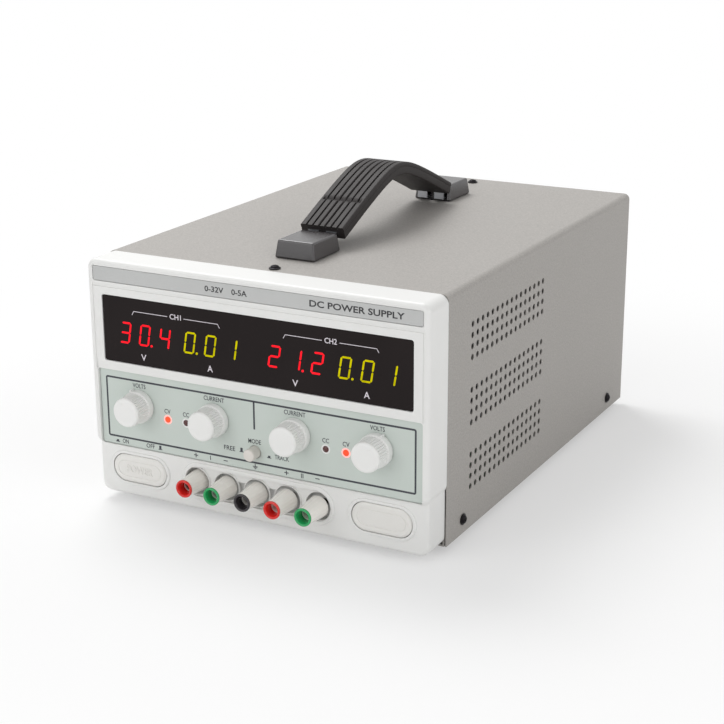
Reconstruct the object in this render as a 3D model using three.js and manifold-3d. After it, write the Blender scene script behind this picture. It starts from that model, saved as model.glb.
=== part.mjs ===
// A bench power supply with two outputs, as its separate pieces. Sizes are in millimetres, with X to
// the right, Y from the front to the back and Z up. The pieces are made with the front of the bezel
// at Y = 0 and the underside of the case at Z = 0. The outermost group then moves the origin to the
// middle of the footprint, at the height of the bench.
import * as THREE from "three";
import { mergeVertices } from "three/addons/utils/BufferGeometryUtils.js";
import Module from "manifold-3d";

// Case
const CASE_WIDTH = 260;
const CASE_HEIGHT = 171;
const CASE_DEPTH = 365;
const SHEET = 1.2; // folded steel
const COVER_BEND = 4.5; // outer radius of the cover's two top bends
const SEAT = 0.3; // gap between two pieces that rest on each other
const PAN_FLANGE = 20;
const REAR_INSET = 3; // from the cover's rear edge to the outside of the rear panel
const FRONT_FLANGE = 56; // how far the front frame's side flanges reach back
const REAR_FLANGE = 44;
const TOP_FLANGE = 36;

// Bezel
const BEZEL_DEPTH = 26;
const BEZEL_BOTTOM = 1;
const BEZEL_CORNER = 7;
const FRONT_WALL = 6;
const STEP_Z = 38; // below this height the front is set back
const STEP_BACK = 3;
const RIM = 1; // raised rims on the set-back part
const LEDGE = 3; // width of the ledge behind the display window

// Name strip, display window and control overlay
const STRIP_MARGIN = 5;
const STRIP_TOP = 4.7;
const STRIP_HEIGHT = 9.9;
const STRIP_THICK = 1;
const STRIP_RECESS = 0.4;
const WINDOW_MARGIN = 11.7;
const WINDOW_TOP = 24.3;
const WINDOW_HEIGHT = 46.5;
const WINDOW_THICK = 2;
const WINDOW_RECESS = 0.6;
const OVERLAY_MARGIN = 5.3;
const OVERLAY_BOTTOM = 38.6;
const OVERLAY_UNDER_WINDOW = 7;
const OVERLAY_THICK = 1.5;
const OVERLAY_RECESS = 2;
const PLATE_CORNER = 1.5;

// Knobs and their potentiometers
const KNOB_OUTER_X = 92;
const KNOB_INNER_X = 31.5;
// Angles are clockwise from twelve o'clock, as seen from the front.
const KNOBS = [
  { name: "volts_left", x: -KNOB_OUTER_X, angle: -24 },
  { name: "current_left", x: -KNOB_INNER_X, angle: -120 },
  { name: "current_right", x: KNOB_INNER_X, angle: -90 },
  { name: "volts_right", x: KNOB_OUTER_X, angle: 24 },
];
const CONTROL_Z = 70;
const KNOB_FRONT_R = 10.3;
const KNOB_SKIRT_R = 11.5;
const KNOB_SKIRT = 4;
const KNOB_LENGTH = 17.7;
const KNOB_POINTER = 1.4;
const KNOB_WALL = 7; // solid depth in front of the shaft
const SHAFT_R = 3;
const BUSH_R = 4.5;
const POT_R = 8.3;
const POT_DEPTH = 8;
const POT_FLOOR = 1; // closed back of a potentiometer

// Lamps, mode button and circuit boards
const LAMP_INNER_X = 54.3;
const LAMP_OUTER_X = 69.3;
const LAMPS = [-LAMP_OUTER_X, -LAMP_INNER_X, LAMP_INNER_X, LAMP_OUTER_X];
const LAMP_DROP = 6.4;
const LAMP_R = 2;
const MODE_DROP = 18;
const MODE_R = 4.3;
const MODE_LENGTH = 15.5;
const MODE_PROUD = 8.5; // how far the mode button stands out of the overlay
const MODE_TRAVEL = 3.5;
const MODE_SWITCH = 9;
const BOARD = 1.6;
const STANDOFF_R = 3;
const DIGIT_WIDTH = 47;
const DIGIT_HEIGHT = 20;
const DIGIT_DEPTH = 8;
const DIGIT_X = [-82.5, -30.2, 35.3, 87.6];

// Power button and the blank cap that mirrors it
const CAP_X = 95;
const CAP_Z = 21.7;
const CAP_WIDTH = 44;
const CAP_HEIGHT = 20;
const CAP_RIM_WIDTH = 50;
const CAP_RIM_HEIGHT = 25;
const CAP_FRONT = 1.8;
const CAP_FLANGE = 1.2; // how far the retaining flange reaches past the cap
const POWER_OUT = 3.5;
const POWER_IN = 0.8;
const POWER_SWITCH = 18;
const POWER_SWITCH_DEPTH = 26;
const POWER_SWITCH_FOOT = 4;

// Output terminals
const POST_PITCH = 24;
const POST_Z = 22;
const POST_LENGTH = 22; // from the front of the coloured ring to the base of the nut
const POST_FRONT_R = 6;
const POST_BASE_R = 7.8;
const POST_THREAD_R = 3;
const RING_R = 6.3;
const RING_PROUD = 1.8;
const RING_BORE_R = 3.75;
const RING_DEPTH = 7;
const RING_PLUG_R = 5.2;
const STUD_FRONT = -6;
const SOCKET_R = 2;
const SOCKET_DEPTH = 14;
const RECESS_END = 9; // from an outer post to the end of the recess, and of the pocket in it
const RECESS_HEIGHT = 21.6;
const RECESS_RIM = 3;
const RECESS_FLOOR = 4;
const WELL_R = 9.7;
const WELL_FLOOR = 10;
const BOSS_BACK = 12;
const POCKET_LOW = 15.5;
const POCKET_HIGH = 27;
const POCKET_POSTS = 3; // the pocket joins the wells of the middle posts
const TERMINAL_BOARD = 4;
const POSTS = [
  { name: "plus_left", unscrewed: 1.7, colour: 0xe1322d },
  { name: "minus_left", unscrewed: 4.7, colour: 0x32aa64 },
  { name: "ground", unscrewed: 4.7, colour: 0x373233 },
  { name: "plus_right", unscrewed: 6.2, colour: 0xe1322d },
  { name: "minus_right", unscrewed: 7.2, colour: 0x32aa64 },
];

// Carrying handle
const HANDLE_FRONT_GAP = 25.4; // from the front top screw to the front end cap
const HANDLE_REAR_GAP = 39.7; // from the rear end cap to the rear top screw
const HANDLE_RISE = 41.8; // from the cover to the strap's middle layer at its crown
const STRAP_END_RISE = 11.8; // the same at the ends of the strap
const HANDLE_CROWN_SIZE = 10; // how round the crown is between the two straight legs
const STRAP_WIDTH = 34;
const STRAP_THICK = 9;
const SPRING_WIDTH = 24;
const SPRING_THICK = 1.2;
const PRONG_WIDTH = 8;
const PRONG_X = 7;
const PRONG_LENGTH = 16;
const HANDLE_LIFT = 2.5;
const STRAP_MOUTH_GAP = 3; // from the end of the strap to the mouth of an end cap
const END_CAP_WIDTH = 31;
const END_CAP_LENGTH = 37;
const END_CAP_HEIGHT = 12.5;
const END_CAP_DRAFT = 0.9; // the top's size over the base's
const END_CAP_FLOOR = 1.6;
const STRAP_STEPS = 20;

// Screws and feet
const SCREW_HEAD_R = 4;
const SCREW_DOME_R = 3;
const SCREW_HEAD = 2.6;
const SCREW_R = 1.7;
const SCREW_LENGTH = 9;
const SIDE_SCREW_Z = 10.4;
const SIDE_SCREW_FRONT = 51.5;
const SIDE_SCREW_REAR = 35;
const TOP_SCREW_FRONT = 32.6;
const TOP_SCREW_REAR = 15.3;
const FOOT_HEIGHT = 5;
const FOOT_R = 8;
const FOOT_PEG_R = 3;
const FOOT_INSET = 24;

// Fan
const FAN_X = -62;
const FAN_Z = 98;
const FAN_SIZE = 80;
const FAN_DEPTH = 25;
const FAN_BORE_R = 38;
const FAN_HUB_R = 16;
const FAN_SPIN_CLEARANCE = 1.5;
const FAN_AXLE_R = 2;
const FAN_BLADES = 7;
const GRILLE_SLOT = 5;
const GRILLE_PITCH = 8.5;

// Mains inlet and voltage selector
const INLET_X = 72;
const INLET_Z = 52;
const INLET_FLANGE_WIDTH = 50;
const INLET_FLANGE_HEIGHT = 38;
const INLET_FLANGE = 2.5;
const INLET_BODY_WIDTH = 28;
const INLET_BODY_HEIGHT = 32;
const INLET_BODY_DEPTH = 26;
const INLET_CAVITY_WIDTH = 24;
const INLET_CAVITY_HEIGHT = 16;
const INLET_CAVITY_DEPTH = 20;
const INLET_CAVITY_RISE = 5;
const INLET_PIN_DEPTH = 14;
const FUSE_WIDTH = 22;
const FUSE_HEIGHT = 7;
const FUSE_DROP = 10;
const FUSE_DEPTH = 18;
const SELECTOR_Z = 104;
const SELECTOR_WIDTH = 26;
const SELECTOR_HEIGHT = 13;
const SELECTOR_DEPTH = 10;
const SLIDER_WIDTH = 6;
const SLIDER_HEIGHT = 5.4;
const SLIDER_TRAVEL = 6; // from the one voltage to the other

// Transformer, main board and heat sink
const CORE_X = -58;
const CORE_Y = 130;
const CORE_WIDTH = 96;
const CORE_STACK = 50;
const CORE_HEIGHT = 80;
const CORE_LEG = 32;
const COIL_BULGE = 14;
const MAIN_BOARD_X = 66;
const MAIN_BOARD_Y = 190;
const MAIN_BOARD_WIDTH = 100;
const MAIN_BOARD_LENGTH = 220;
const STANDOFF_HEIGHT = 8;
const CAPACITOR_R = 17.5;
const CAPACITOR_HEIGHT = 50;
const CAPACITOR_SPACING = 44;
const SINK_WIDTH = 96;
const SINK_LENGTH = 60;
const SINK_HEIGHT = 90;
const SINK_BASE = 5;
const SINK_FIN = 2;
const SINK_FINS = 9;
const SINK_FAN_GAP = 12;

// Places and fits that follow from the sizes above
const HALF = CASE_WIDTH / 2;
const COVER_INSIDE = HALF - SHEET;
const PAN_OUTSIDE = COVER_INSIDE - SEAT;
const PAN_INSIDE = PAN_OUTSIDE - SHEET;
const FRAME_OUTSIDE = PAN_INSIDE - SEAT;
const BEZEL_INSIDE = FRAME_OUTSIDE + SEAT;
const BEZEL_WALL = HALF - BEZEL_INSIDE;
const FRAME_TOP = CASE_HEIGHT - BEZEL_WALL - SEAT;
const FRONT_FRAME_BOTTOM = BEZEL_BOTTOM + BEZEL_WALL + SEAT;
const FRONT_FRAME_Y = FRONT_WALL + SEAT;
const FRONT_FRAME_BACK = FRONT_FRAME_Y + SHEET;
const REAR_FACE = CASE_DEPTH - REAR_INSET;
const REAR_INSIDE = REAR_FACE - SHEET;
const WINDOW_LOW = CASE_HEIGHT - WINDOW_TOP - WINDOW_HEIGHT;
const WINDOW_Z = WINDOW_LOW + WINDOW_HEIGHT / 2;
const OVERLAY_HEIGHT = WINDOW_LOW - OVERLAY_UNDER_WINDOW - OVERLAY_BOTTOM;
const POT_FRONT = FRONT_FRAME_BACK + SEAT;
const CONTROL_BOARD_FRONT = POT_FRONT + POT_DEPTH;
const LAMP_Z = CONTROL_Z - LAMP_DROP;
const MODE_Z = CONTROL_Z - MODE_DROP;
const MODE_FRONT = OVERLAY_RECESS - MODE_PROUD;
const KNOB_BACK = OVERLAY_RECESS - SEAT;
const KNOB_FRONT = KNOB_BACK - KNOB_LENGTH;
const RECESS_WIDTH = (POSTS.length - 1) * POST_PITCH + 2 * RECESS_END;
const POCKET_WIDTH = (POCKET_POSTS - 1) * POST_PITCH + 2 * RECESS_END;
const HANDLE_FRONT = TOP_SCREW_FRONT + HANDLE_FRONT_GAP;
const HANDLE_REAR = CASE_DEPTH - TOP_SCREW_REAR - HANDLE_REAR_GAP;
const HANDLE_Y = (HANDLE_FRONT + HANDLE_REAR) / 2;
const CAP_MOUTH = (HANDLE_REAR - HANDLE_FRONT) / 2 - END_CAP_LENGTH;
const STRAP_REACH = CAP_MOUTH - STRAP_MOUTH_GAP;
const HANDLE_CROWN = CASE_HEIGHT + HANDLE_RISE;
const HANDLE_FALL = HANDLE_CROWN_SIZE + HANDLE_RISE - STRAP_END_RISE;
const HANDLE_SLOPE = Math.sqrt(HANDLE_FALL ** 2 - HANDLE_CROWN_SIZE ** 2) / STRAP_REACH;
const POST_REACH = Math.max(...POSTS.map((post) => postFront(post)).map(Math.abs));
const RUN_R = SEAT; // radial clearance of what turns or slides in a hole
const ROUND = 20; // sides of a turned piece
const SMALL_ROUND = 12;
const ARC_STEPS = 3;
const PAST = 1; // how far a cutting tool runs past the face that it cuts

const PAINT = { color: 0xaeaaa3, roughness: 0.6, metalness: 0.2 };
const STEEL = { color: 0xb9bcbd, roughness: 0.35, metalness: 0.9 };
const BRASS = { color: 0xc9a55c, roughness: 0.3, metalness: 1 };
const ALUMINIUM = { color: 0xc4c7ca, roughness: 0.4, metalness: 0.9 };
const WHITE_PLASTIC = { color: 0xe8e8e6, roughness: 0.4, metalness: 0 };
const BEIGE_PLASTIC = { color: 0xc8c4be, roughness: 0.35, metalness: 0 };
const GREY_PLASTIC = { color: 0xbebfbe, roughness: 0.5, metalness: 0 };
const OVERLAY_GREEN = { color: 0xc8d0ca, roughness: 0.5, metalness: 0 };
const SMOKED_ACRYLIC = { color: 0x261e1e, roughness: 0.1, metalness: 0 };
const BLACK_PLASTIC = { color: 0x3c3838, roughness: 0.55, metalness: 0 };
const BLACK_RUBBER = { color: 0x2a2a2a, roughness: 0.85, metalness: 0 };
const BOARD_GREEN = { color: 0x1f6b3d, roughness: 0.5, metalness: 0 };
const COIL_YELLOW = { color: 0xd9a441, roughness: 0.6, metalness: 0 };
const RED_PLASTIC = { color: 0xc0302a, roughness: 0.4, metalness: 0 };

const wasm = await Module();
wasm.setup();

// The axes of a flat outline (its right, its up and its normal) for a run along Y or along X.
const OUTLINE_TO_Y = new THREE.Matrix4().makeBasis(
  new THREE.Vector3(1, 0, 0),
  new THREE.Vector3(0, 0, 1),
  new THREE.Vector3(0, -1, 0),
);
const OUTLINE_TO_X = new THREE.Matrix4().makeBasis(
  new THREE.Vector3(0, 1, 0),
  new THREE.Vector3(0, 0, 1),
  new THREE.Vector3(1, 0, 0),
);

function solidOf(geometry) {
  const bare = new THREE.BufferGeometry();
  bare.setAttribute("position", geometry.getAttribute("position"));
  bare.setIndex(geometry.index);
  const merged = mergeVertices(bare, 1e-4);
  const vertProperties = merged.attributes.position.array;
  const triVerts = new Uint32Array(merged.index.array);
  return new wasm.Manifold(new wasm.Mesh({ numProp: 3, vertProperties, triVerts }));
}

function geometryOf(solid) {
  const { vertProperties, triVerts } = solid.getMesh();
  const geometry = new THREE.BufferGeometry();
  geometry.setAttribute("position", new THREE.BufferAttribute(vertProperties, 3));
  geometry.setIndex(new THREE.BufferAttribute(triVerts, 1));
  geometry.computeVertexNormals();
  return geometry;
}

function join(...geometries) {
  return geometryOf(geometries.map(solidOf).reduce((sum, next) => sum.add(next)));
}

function cut(geometry, ...tools) {
  const whole = solidOf(geometry);
  return geometryOf(tools.map(solidOf).reduce((rest, tool) => rest.subtract(tool), whole));
}

function meet(first, second) {
  return geometryOf(solidOf(first).intersect(solidOf(second)));
}

// A box from its lowest to its highest x, y and z.
function block([x0, x1], [y0, y1], [z0, z1]) {
  const box = new THREE.BoxGeometry(x1 - x0, y1 - y0, z1 - z0);
  return box.translate((x0 + x1) / 2, (y0 + y1) / 2, (z0 + z1) / 2);
}

function around(middle, size) {
  return [middle - size / 2, middle + size / 2];
}

function ordered(first, second) {
  return [Math.min(first, second), Math.max(first, second)];
}

// A rectangle with round corners, around a middle point.
function roundedRect(midX, midZ, width, height, radius) {
  const [left, right] = around(midX, width);
  const [low, high] = around(midZ, height);
  const shape = new THREE.Shape();
  shape.absarc(right - radius, low + radius, radius, -Math.PI / 2, 0);
  shape.absarc(right - radius, high - radius, radius, 0, Math.PI / 2);
  shape.absarc(left + radius, high - radius, radius, Math.PI / 2, Math.PI);
  shape.absarc(left + radius, low + radius, radius, Math.PI, Math.PI * 1.5);
  return shape;
}

function stadium(midX, midZ, width, height) {
  return roundedRect(midX, midZ, width, height, height / 2 - 0.01);
}

function outline(points) {
  return new THREE.Shape(points.map(([right, up]) => new THREE.Vector2(right, up)));
}

function run(shape, length) {
  return new THREE.ExtrudeGeometry(shape, {
    depth: length,
    bevelEnabled: false,
    curveSegments: ARC_STEPS,
  });
}

function alongY(shape, from, to) {
  return run(shape, to - from).applyMatrix4(OUTLINE_TO_Y).translate(0, to, 0);
}

function alongX(shape, from, to) {
  return run(shape, to - from).applyMatrix4(OUTLINE_TO_X).translate(from, 0, 0);
}

// A profile of [radius, height] turned about the Y axis.
function turned(profile, sides = ROUND) {
  const points = profile.map(([radius, height]) => new THREE.Vector2(radius, height));
  return new THREE.LatheGeometry(points, sides);
}

function rodY(radius, from, to, x = 0, z = 0, sides = SMALL_ROUND) {
  const rod = new THREE.CylinderGeometry(radius, radius, to - from, sides);
  return rod.translate(x, (from + to) / 2, z);
}

function rodZ(radius, from, to, x, y, sides = SMALL_ROUND) {
  const rod = new THREE.CylinderGeometry(radius, radius, to - from, sides);
  return rod.rotateX(Math.PI / 2).translate(x, y, (from + to) / 2);
}

function piece(name, geometry, finish) {
  const mesh = new THREE.Mesh(geometry, new THREE.MeshStandardMaterial(finish));
  mesh.name = name;
  return mesh;
}

// Case

function coverProfile() {
  const inner = COVER_BEND - SHEET;
  const shape = new THREE.Shape();
  shape.moveTo(HALF, 0);
  shape.absarc(HALF - COVER_BEND, CASE_HEIGHT - COVER_BEND, COVER_BEND, 0, Math.PI / 2);
  shape.absarc(COVER_BEND - HALF, CASE_HEIGHT - COVER_BEND, COVER_BEND, Math.PI / 2, Math.PI);
  shape.lineTo(-HALF, 0);
  shape.lineTo(-COVER_INSIDE, 0);
  shape.absarc(COVER_BEND - HALF, CASE_HEIGHT - COVER_BEND, inner, Math.PI, Math.PI / 2, true);
  shape.absarc(HALF - COVER_BEND, CASE_HEIGHT - COVER_BEND, inner, Math.PI / 2, 0, true);
  shape.lineTo(COVER_INSIDE, 0);
  return shape;
}

function coverScrews() {
  const rearY = CASE_DEPTH - SIDE_SCREW_REAR;
  return [
    { name: "screw_top_front", side: 0, y: TOP_SCREW_FRONT },
    { name: "screw_top_rear", side: 0, y: CASE_DEPTH - TOP_SCREW_REAR },
    { name: "screw_left_front", side: -1, y: SIDE_SCREW_FRONT },
    { name: "screw_left_rear", side: -1, y: rearY },
    { name: "screw_right_front", side: 1, y: SIDE_SCREW_FRONT },
    { name: "screw_right_rear", side: 1, y: rearY },
  ];
}

// Moves a piece that points up from the origin to a screw's place on the outside of the cover.
function atScrew(geometry, { side, y }) {
  if (side === 0) return geometry.translate(0, y, CASE_HEIGHT);
  return geometry.rotateY((side * Math.PI) / 2).translate(side * HALF, y, SIDE_SCREW_Z);
}

function screwHoles() {
  const depth = SCREW_LENGTH + PAST;
  return coverScrews().map((screw) =>
    atScrew(rodZ(SCREW_R + SEAT, -depth, PAST, 0, 0), screw),
  );
}

function topCover() {
  return cut(alongY(coverProfile(), BEZEL_DEPTH + SEAT, CASE_DEPTH), ...screwHoles());
}

function coverScrew(screw) {
  const profile = [
    [0, -SCREW_LENGTH],
    [SCREW_R, -SCREW_LENGTH],
    [SCREW_R, SEAT],
    [SCREW_HEAD_R, SEAT],
    [SCREW_HEAD_R, 1],
    [SCREW_DOME_R, 1.2],
    [SCREW_DOME_R * 0.8, SCREW_HEAD * 0.85],
    [0, SCREW_HEAD],
  ];
  return atScrew(turned(profile, SMALL_ROUND).rotateX(Math.PI / 2), screw);
}

function footPlaces() {
  const x = HALF - FOOT_INSET;
  const front = BEZEL_DEPTH + FOOT_INSET;
  const rear = CASE_DEPTH - FOOT_INSET;
  return [
    { name: "foot_front_left", x: -x, y: front },
    { name: "foot_front_right", x, y: front },
    { name: "foot_rear_left", x: -x, y: rear },
    { name: "foot_rear_right", x, y: rear },
  ];
}

function basePan() {
  const profile = outline([
    [-PAN_OUTSIDE, 0],
    [PAN_OUTSIDE, 0],
    [PAN_OUTSIDE, PAN_FLANGE],
    [PAN_INSIDE, PAN_FLANGE],
    [PAN_INSIDE, SHEET],
    [-PAN_INSIDE, SHEET],
    [-PAN_INSIDE, PAN_FLANGE],
    [-PAN_OUTSIDE, PAN_FLANGE],
  ]);
  const pan = alongY(profile, BEZEL_DEPTH + SEAT, REAR_FACE);
  const pegHoles = footPlaces().map(({ x, y }) =>
    rodZ(FOOT_PEG_R + SEAT, -PAST, SHEET + PAST, x, y),
  );
  return cut(pan, ...pegHoles, ...screwHoles());
}

function foot({ x, y }) {
  const profile = [
    [0, -FOOT_HEIGHT],
    [FOOT_R * 0.85, -FOOT_HEIGHT],
    [FOOT_R, -SEAT],
    [FOOT_PEG_R, -SEAT],
    [FOOT_PEG_R, SHEET + 1],
    [0, SHEET + 1],
  ];
  return turned(profile, SMALL_ROUND).rotateX(Math.PI / 2).translate(x, y, 0);
}

// A steel plate across the case with flanges at its sides and top. Its plate lies at plateY and its
// flanges run from there to sideEnd and topEnd.
function flangedPlate(plateY, low, sideEnd, topEnd) {
  const plate = [plateY, plateY + SHEET];
  const sideRun = [Math.min(plateY, sideEnd), Math.max(plateY + SHEET, sideEnd)];
  const topRun = [Math.min(plateY, topEnd), Math.max(plateY + SHEET, topEnd)];
  const height = [low, FRAME_TOP];
  const folded = join(
    block([-FRAME_OUTSIDE, FRAME_OUTSIDE], plate, height),
    block([-FRAME_OUTSIDE, SHEET - FRAME_OUTSIDE], sideRun, height),
    block([FRAME_OUTSIDE - SHEET, FRAME_OUTSIDE], sideRun, height),
    block([-FRAME_OUTSIDE, FRAME_OUTSIDE], topRun, [FRAME_TOP - SHEET, FRAME_TOP]),
  );
  const tall = FRAME_TOP - low;
  const corner = BEZEL_CORNER - BEZEL_WALL;
  const envelope = roundedRect(0, low + tall / 2, 2 * FRAME_OUTSIDE, tall, corner);
  return meet(folded, alongY(envelope, sideRun[0] - PAST, sideRun[1] + PAST));
}

function frontSubpanel() {
  const plate = flangedPlate(
    FRONT_FRAME_Y,
    FRONT_FRAME_BOTTOM,
    FRONT_FRAME_Y + FRONT_FLANGE,
    FRONT_FRAME_Y + TOP_FLANGE,
  );
  const through = [FRONT_FRAME_Y - PAST, FRONT_FRAME_BACK + PAST];
  const flange = CAP_FLANGE + SEAT;
  const capHoles = [-CAP_X, CAP_X].map((x) =>
    alongY(stadium(x, CAP_Z, CAP_WIDTH + 2 * flange, CAP_HEIGHT + 2 * flange), ...through),
  );
  const bossWidth = RECESS_WIDTH + 2 * (RECESS_RIM + SEAT);
  const bossHeight = RECESS_HEIGHT + 2 * (RECESS_RIM + SEAT);
  return cut(
    plate,
    block(windowSpan(-LEDGE), through, around(WINDOW_Z, WINDOW_HEIGHT - 2 * LEDGE)),
    alongY(stadium(0, POST_Z, bossWidth, bossHeight), ...through),
    ...capHoles,
    ...controlHoles(...through),
    ...screwHoles(),
  );
}

function rearPanel() {
  const plate = flangedPlate(
    REAR_INSIDE,
    SHEET + SEAT,
    REAR_FACE - REAR_FLANGE,
    REAR_FACE - TOP_FLANGE,
  );
  const through = [REAR_INSIDE - PAST, REAR_FACE + PAST];
  const reach = FAN_BORE_R - GRILLE_SLOT / 2;
  const rows = Math.floor(reach / GRILLE_PITCH);
  const slots = Array.from({ length: 2 * rows + 1 }, (_, i) => {
    const rise = (i - rows) * GRILLE_PITCH;
    const width = 2 * Math.sqrt(FAN_BORE_R ** 2 - rise ** 2) - GRILLE_SLOT;
    return alongY(stadium(FAN_X, FAN_Z + rise, width, GRILLE_SLOT), ...through);
  });
  const inletWidth = around(INLET_X, INLET_BODY_WIDTH + 2 * SEAT);
  const inletHeight = around(INLET_Z, INLET_BODY_HEIGHT + 2 * SEAT);
  const selectorWidth = around(INLET_X, SELECTOR_WIDTH - 4 + 2 * SEAT);
  const selectorHeight = around(SELECTOR_Z, SELECTOR_HEIGHT - 2 + 2 * SEAT);
  return cut(
    plate,
    ...slots,
    block(inletWidth, through, inletHeight),
    block(selectorWidth, through, selectorHeight),
    ...screwHoles(),
  );
}

// Bezel and what it frames

function windowSpan(grow) {
  const half = HALF - WINDOW_MARGIN + grow;
  return [-half, half];
}

function stripOutline(grow) {
  const width = CASE_WIDTH - 2 * (STRIP_MARGIN - grow);
  const middle = CASE_HEIGHT - STRIP_TOP - STRIP_HEIGHT / 2;
  return roundedRect(0, middle, width, STRIP_HEIGHT + 2 * grow, PLATE_CORNER + grow);
}

function windowOutline(grow) {
  const width = CASE_WIDTH - 2 * (WINDOW_MARGIN - grow);
  return roundedRect(0, WINDOW_Z, width, WINDOW_HEIGHT + 2 * grow, PLATE_CORNER + grow);
}

function overlayOutline(grow) {
  const width = CASE_WIDTH - 2 * (OVERLAY_MARGIN - grow);
  const middle = OVERLAY_BOTTOM + OVERLAY_HEIGHT / 2;
  return roundedRect(0, middle, width, OVERLAY_HEIGHT + 2 * grow, PLATE_CORNER + grow);
}

function controlHoles(from, to) {
  return [
    ...KNOBS.map(({ x }) => rodY(BUSH_R + SEAT, from, to, x, CONTROL_Z)),
    ...LAMPS.map((x) => rodY(LAMP_R + SEAT, from, to, x, LAMP_Z)),
    rodY(MODE_R + RUN_R, from, to, 0, MODE_Z),
  ];
}

function postX(index) {
  return (index - (POSTS.length - 1) / 2) * POST_PITCH;
}

function terminalCuts() {
  const wells = POSTS.map((_, i) => rodY(WELL_R, RECESS_FLOOR - PAST, WELL_FLOOR, postX(i), POST_Z));
  const studs = POSTS.map((_, i) =>
    rodY(POST_THREAD_R + SEAT, WELL_FLOOR - PAST, BOSS_BACK + PAST, postX(i), POST_Z),
  );
  return [
    alongY(stadium(0, POST_Z, RECESS_WIDTH, RECESS_HEIGHT), 0, RECESS_FLOOR),
    block(around(0, POCKET_WIDTH), [RECESS_FLOOR - PAST, WELL_FLOOR], [POCKET_LOW, POCKET_HIGH]),
    ...wells,
    ...studs,
  ];
}

function bezelShell() {
  const height = CASE_HEIGHT - BEZEL_BOTTOM;
  const middle = BEZEL_BOTTOM + height / 2;
  const outer = roundedRect(0, middle, CASE_WIDTH, height, BEZEL_CORNER);
  const wall = 2 * BEZEL_WALL;
  const inner = roundedRect(0, middle, CASE_WIDTH - wall, height - wall, BEZEL_CORNER - BEZEL_WALL);
  const below = [BEZEL_BOTTOM - PAST, STEP_Z];
  return cut(
    alongY(outer, 0, BEZEL_DEPTH),
    alongY(inner, FRONT_WALL, BEZEL_DEPTH + PAST),
    block([-HALF - PAST, HALF + PAST], [-PAST, STEP_BACK], below),
  );
}

function frontBezel() {
  const rimFront = STEP_BACK - RIM;
  const rims = [-CAP_X, CAP_X].map((x) =>
    alongY(stadium(x, CAP_Z, CAP_RIM_WIDTH, CAP_RIM_HEIGHT), rimFront, FRONT_WALL),
  );
  const bossWidth = RECESS_WIDTH + 2 * RECESS_RIM;
  const bossHeight = RECESS_HEIGHT + 2 * RECESS_RIM;
  const boss = alongY(stadium(0, POST_Z, bossWidth, bossHeight), rimFront, BOSS_BACK);
  const capHoles = [-CAP_X, CAP_X].map((x) =>
    alongY(stadium(x, CAP_Z, CAP_WIDTH + 2 * RUN_R, CAP_HEIGHT + 2 * RUN_R), 0, FRONT_WALL + PAST),
  );
  const behindWindow = around(WINDOW_Z, WINDOW_HEIGHT - 2 * LEDGE);
  return cut(
    join(bezelShell(), boss, ...rims),
    alongY(stripOutline(SEAT), -PAST, STRIP_RECESS + STRIP_THICK + SEAT),
    alongY(windowOutline(SEAT), -PAST, WINDOW_RECESS + WINDOW_THICK + SEAT),
    block(windowSpan(-LEDGE), [0, FRONT_WALL + PAST], behindWindow),
    alongY(overlayOutline(SEAT), -PAST, OVERLAY_RECESS + OVERLAY_THICK + SEAT),
    ...controlHoles(0, FRONT_WALL + PAST),
    ...capHoles,
    ...terminalCuts(),
  );
}

function nameStrip() {
  return alongY(stripOutline(0), STRIP_RECESS, STRIP_RECESS + STRIP_THICK);
}

function displayWindow() {
  return alongY(windowOutline(0), WINDOW_RECESS, WINDOW_RECESS + WINDOW_THICK);
}

function controlOverlay() {
  const back = OVERLAY_RECESS + OVERLAY_THICK;
  return cut(alongY(overlayOutline(0), OVERLAY_RECESS, back), ...controlHoles(0, back + PAST));
}

// Knobs and boards

function knob() {
  const bore = SHAFT_R + SEAT;
  const skirtFront = KNOB_BACK - KNOB_SKIRT;
  const body = turned([
    [0, KNOB_FRONT],
    [KNOB_FRONT_R - 1, KNOB_FRONT],
    [KNOB_FRONT_R, KNOB_FRONT + 1],
    [KNOB_FRONT_R + 0.6, skirtFront],
    [KNOB_SKIRT_R, skirtFront + 0.8],
    [KNOB_SKIRT_R, KNOB_BACK],
    [bore, KNOB_BACK],
    [bore, KNOB_FRONT + KNOB_WALL],
    [0, KNOB_FRONT + KNOB_WALL],
  ]);
  const tip = KNOB_SKIRT_R + KNOB_POINTER;
  const pointer = outline([
    [-2.5, KNOB_SKIRT_R - 2],
    [2.5, KNOB_SKIRT_R - 2],
    [0.6, tip],
    [-0.6, tip],
  ]);
  return join(body, alongY(pointer, skirtFront + 0.8, KNOB_BACK));
}

function shaft() {
  const front = KNOB_FRONT + KNOB_WALL + SEAT;
  const back = CONTROL_BOARD_FRONT - POT_FLOOR - SEAT;
  return rodY(SHAFT_R, front, back);
}

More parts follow.
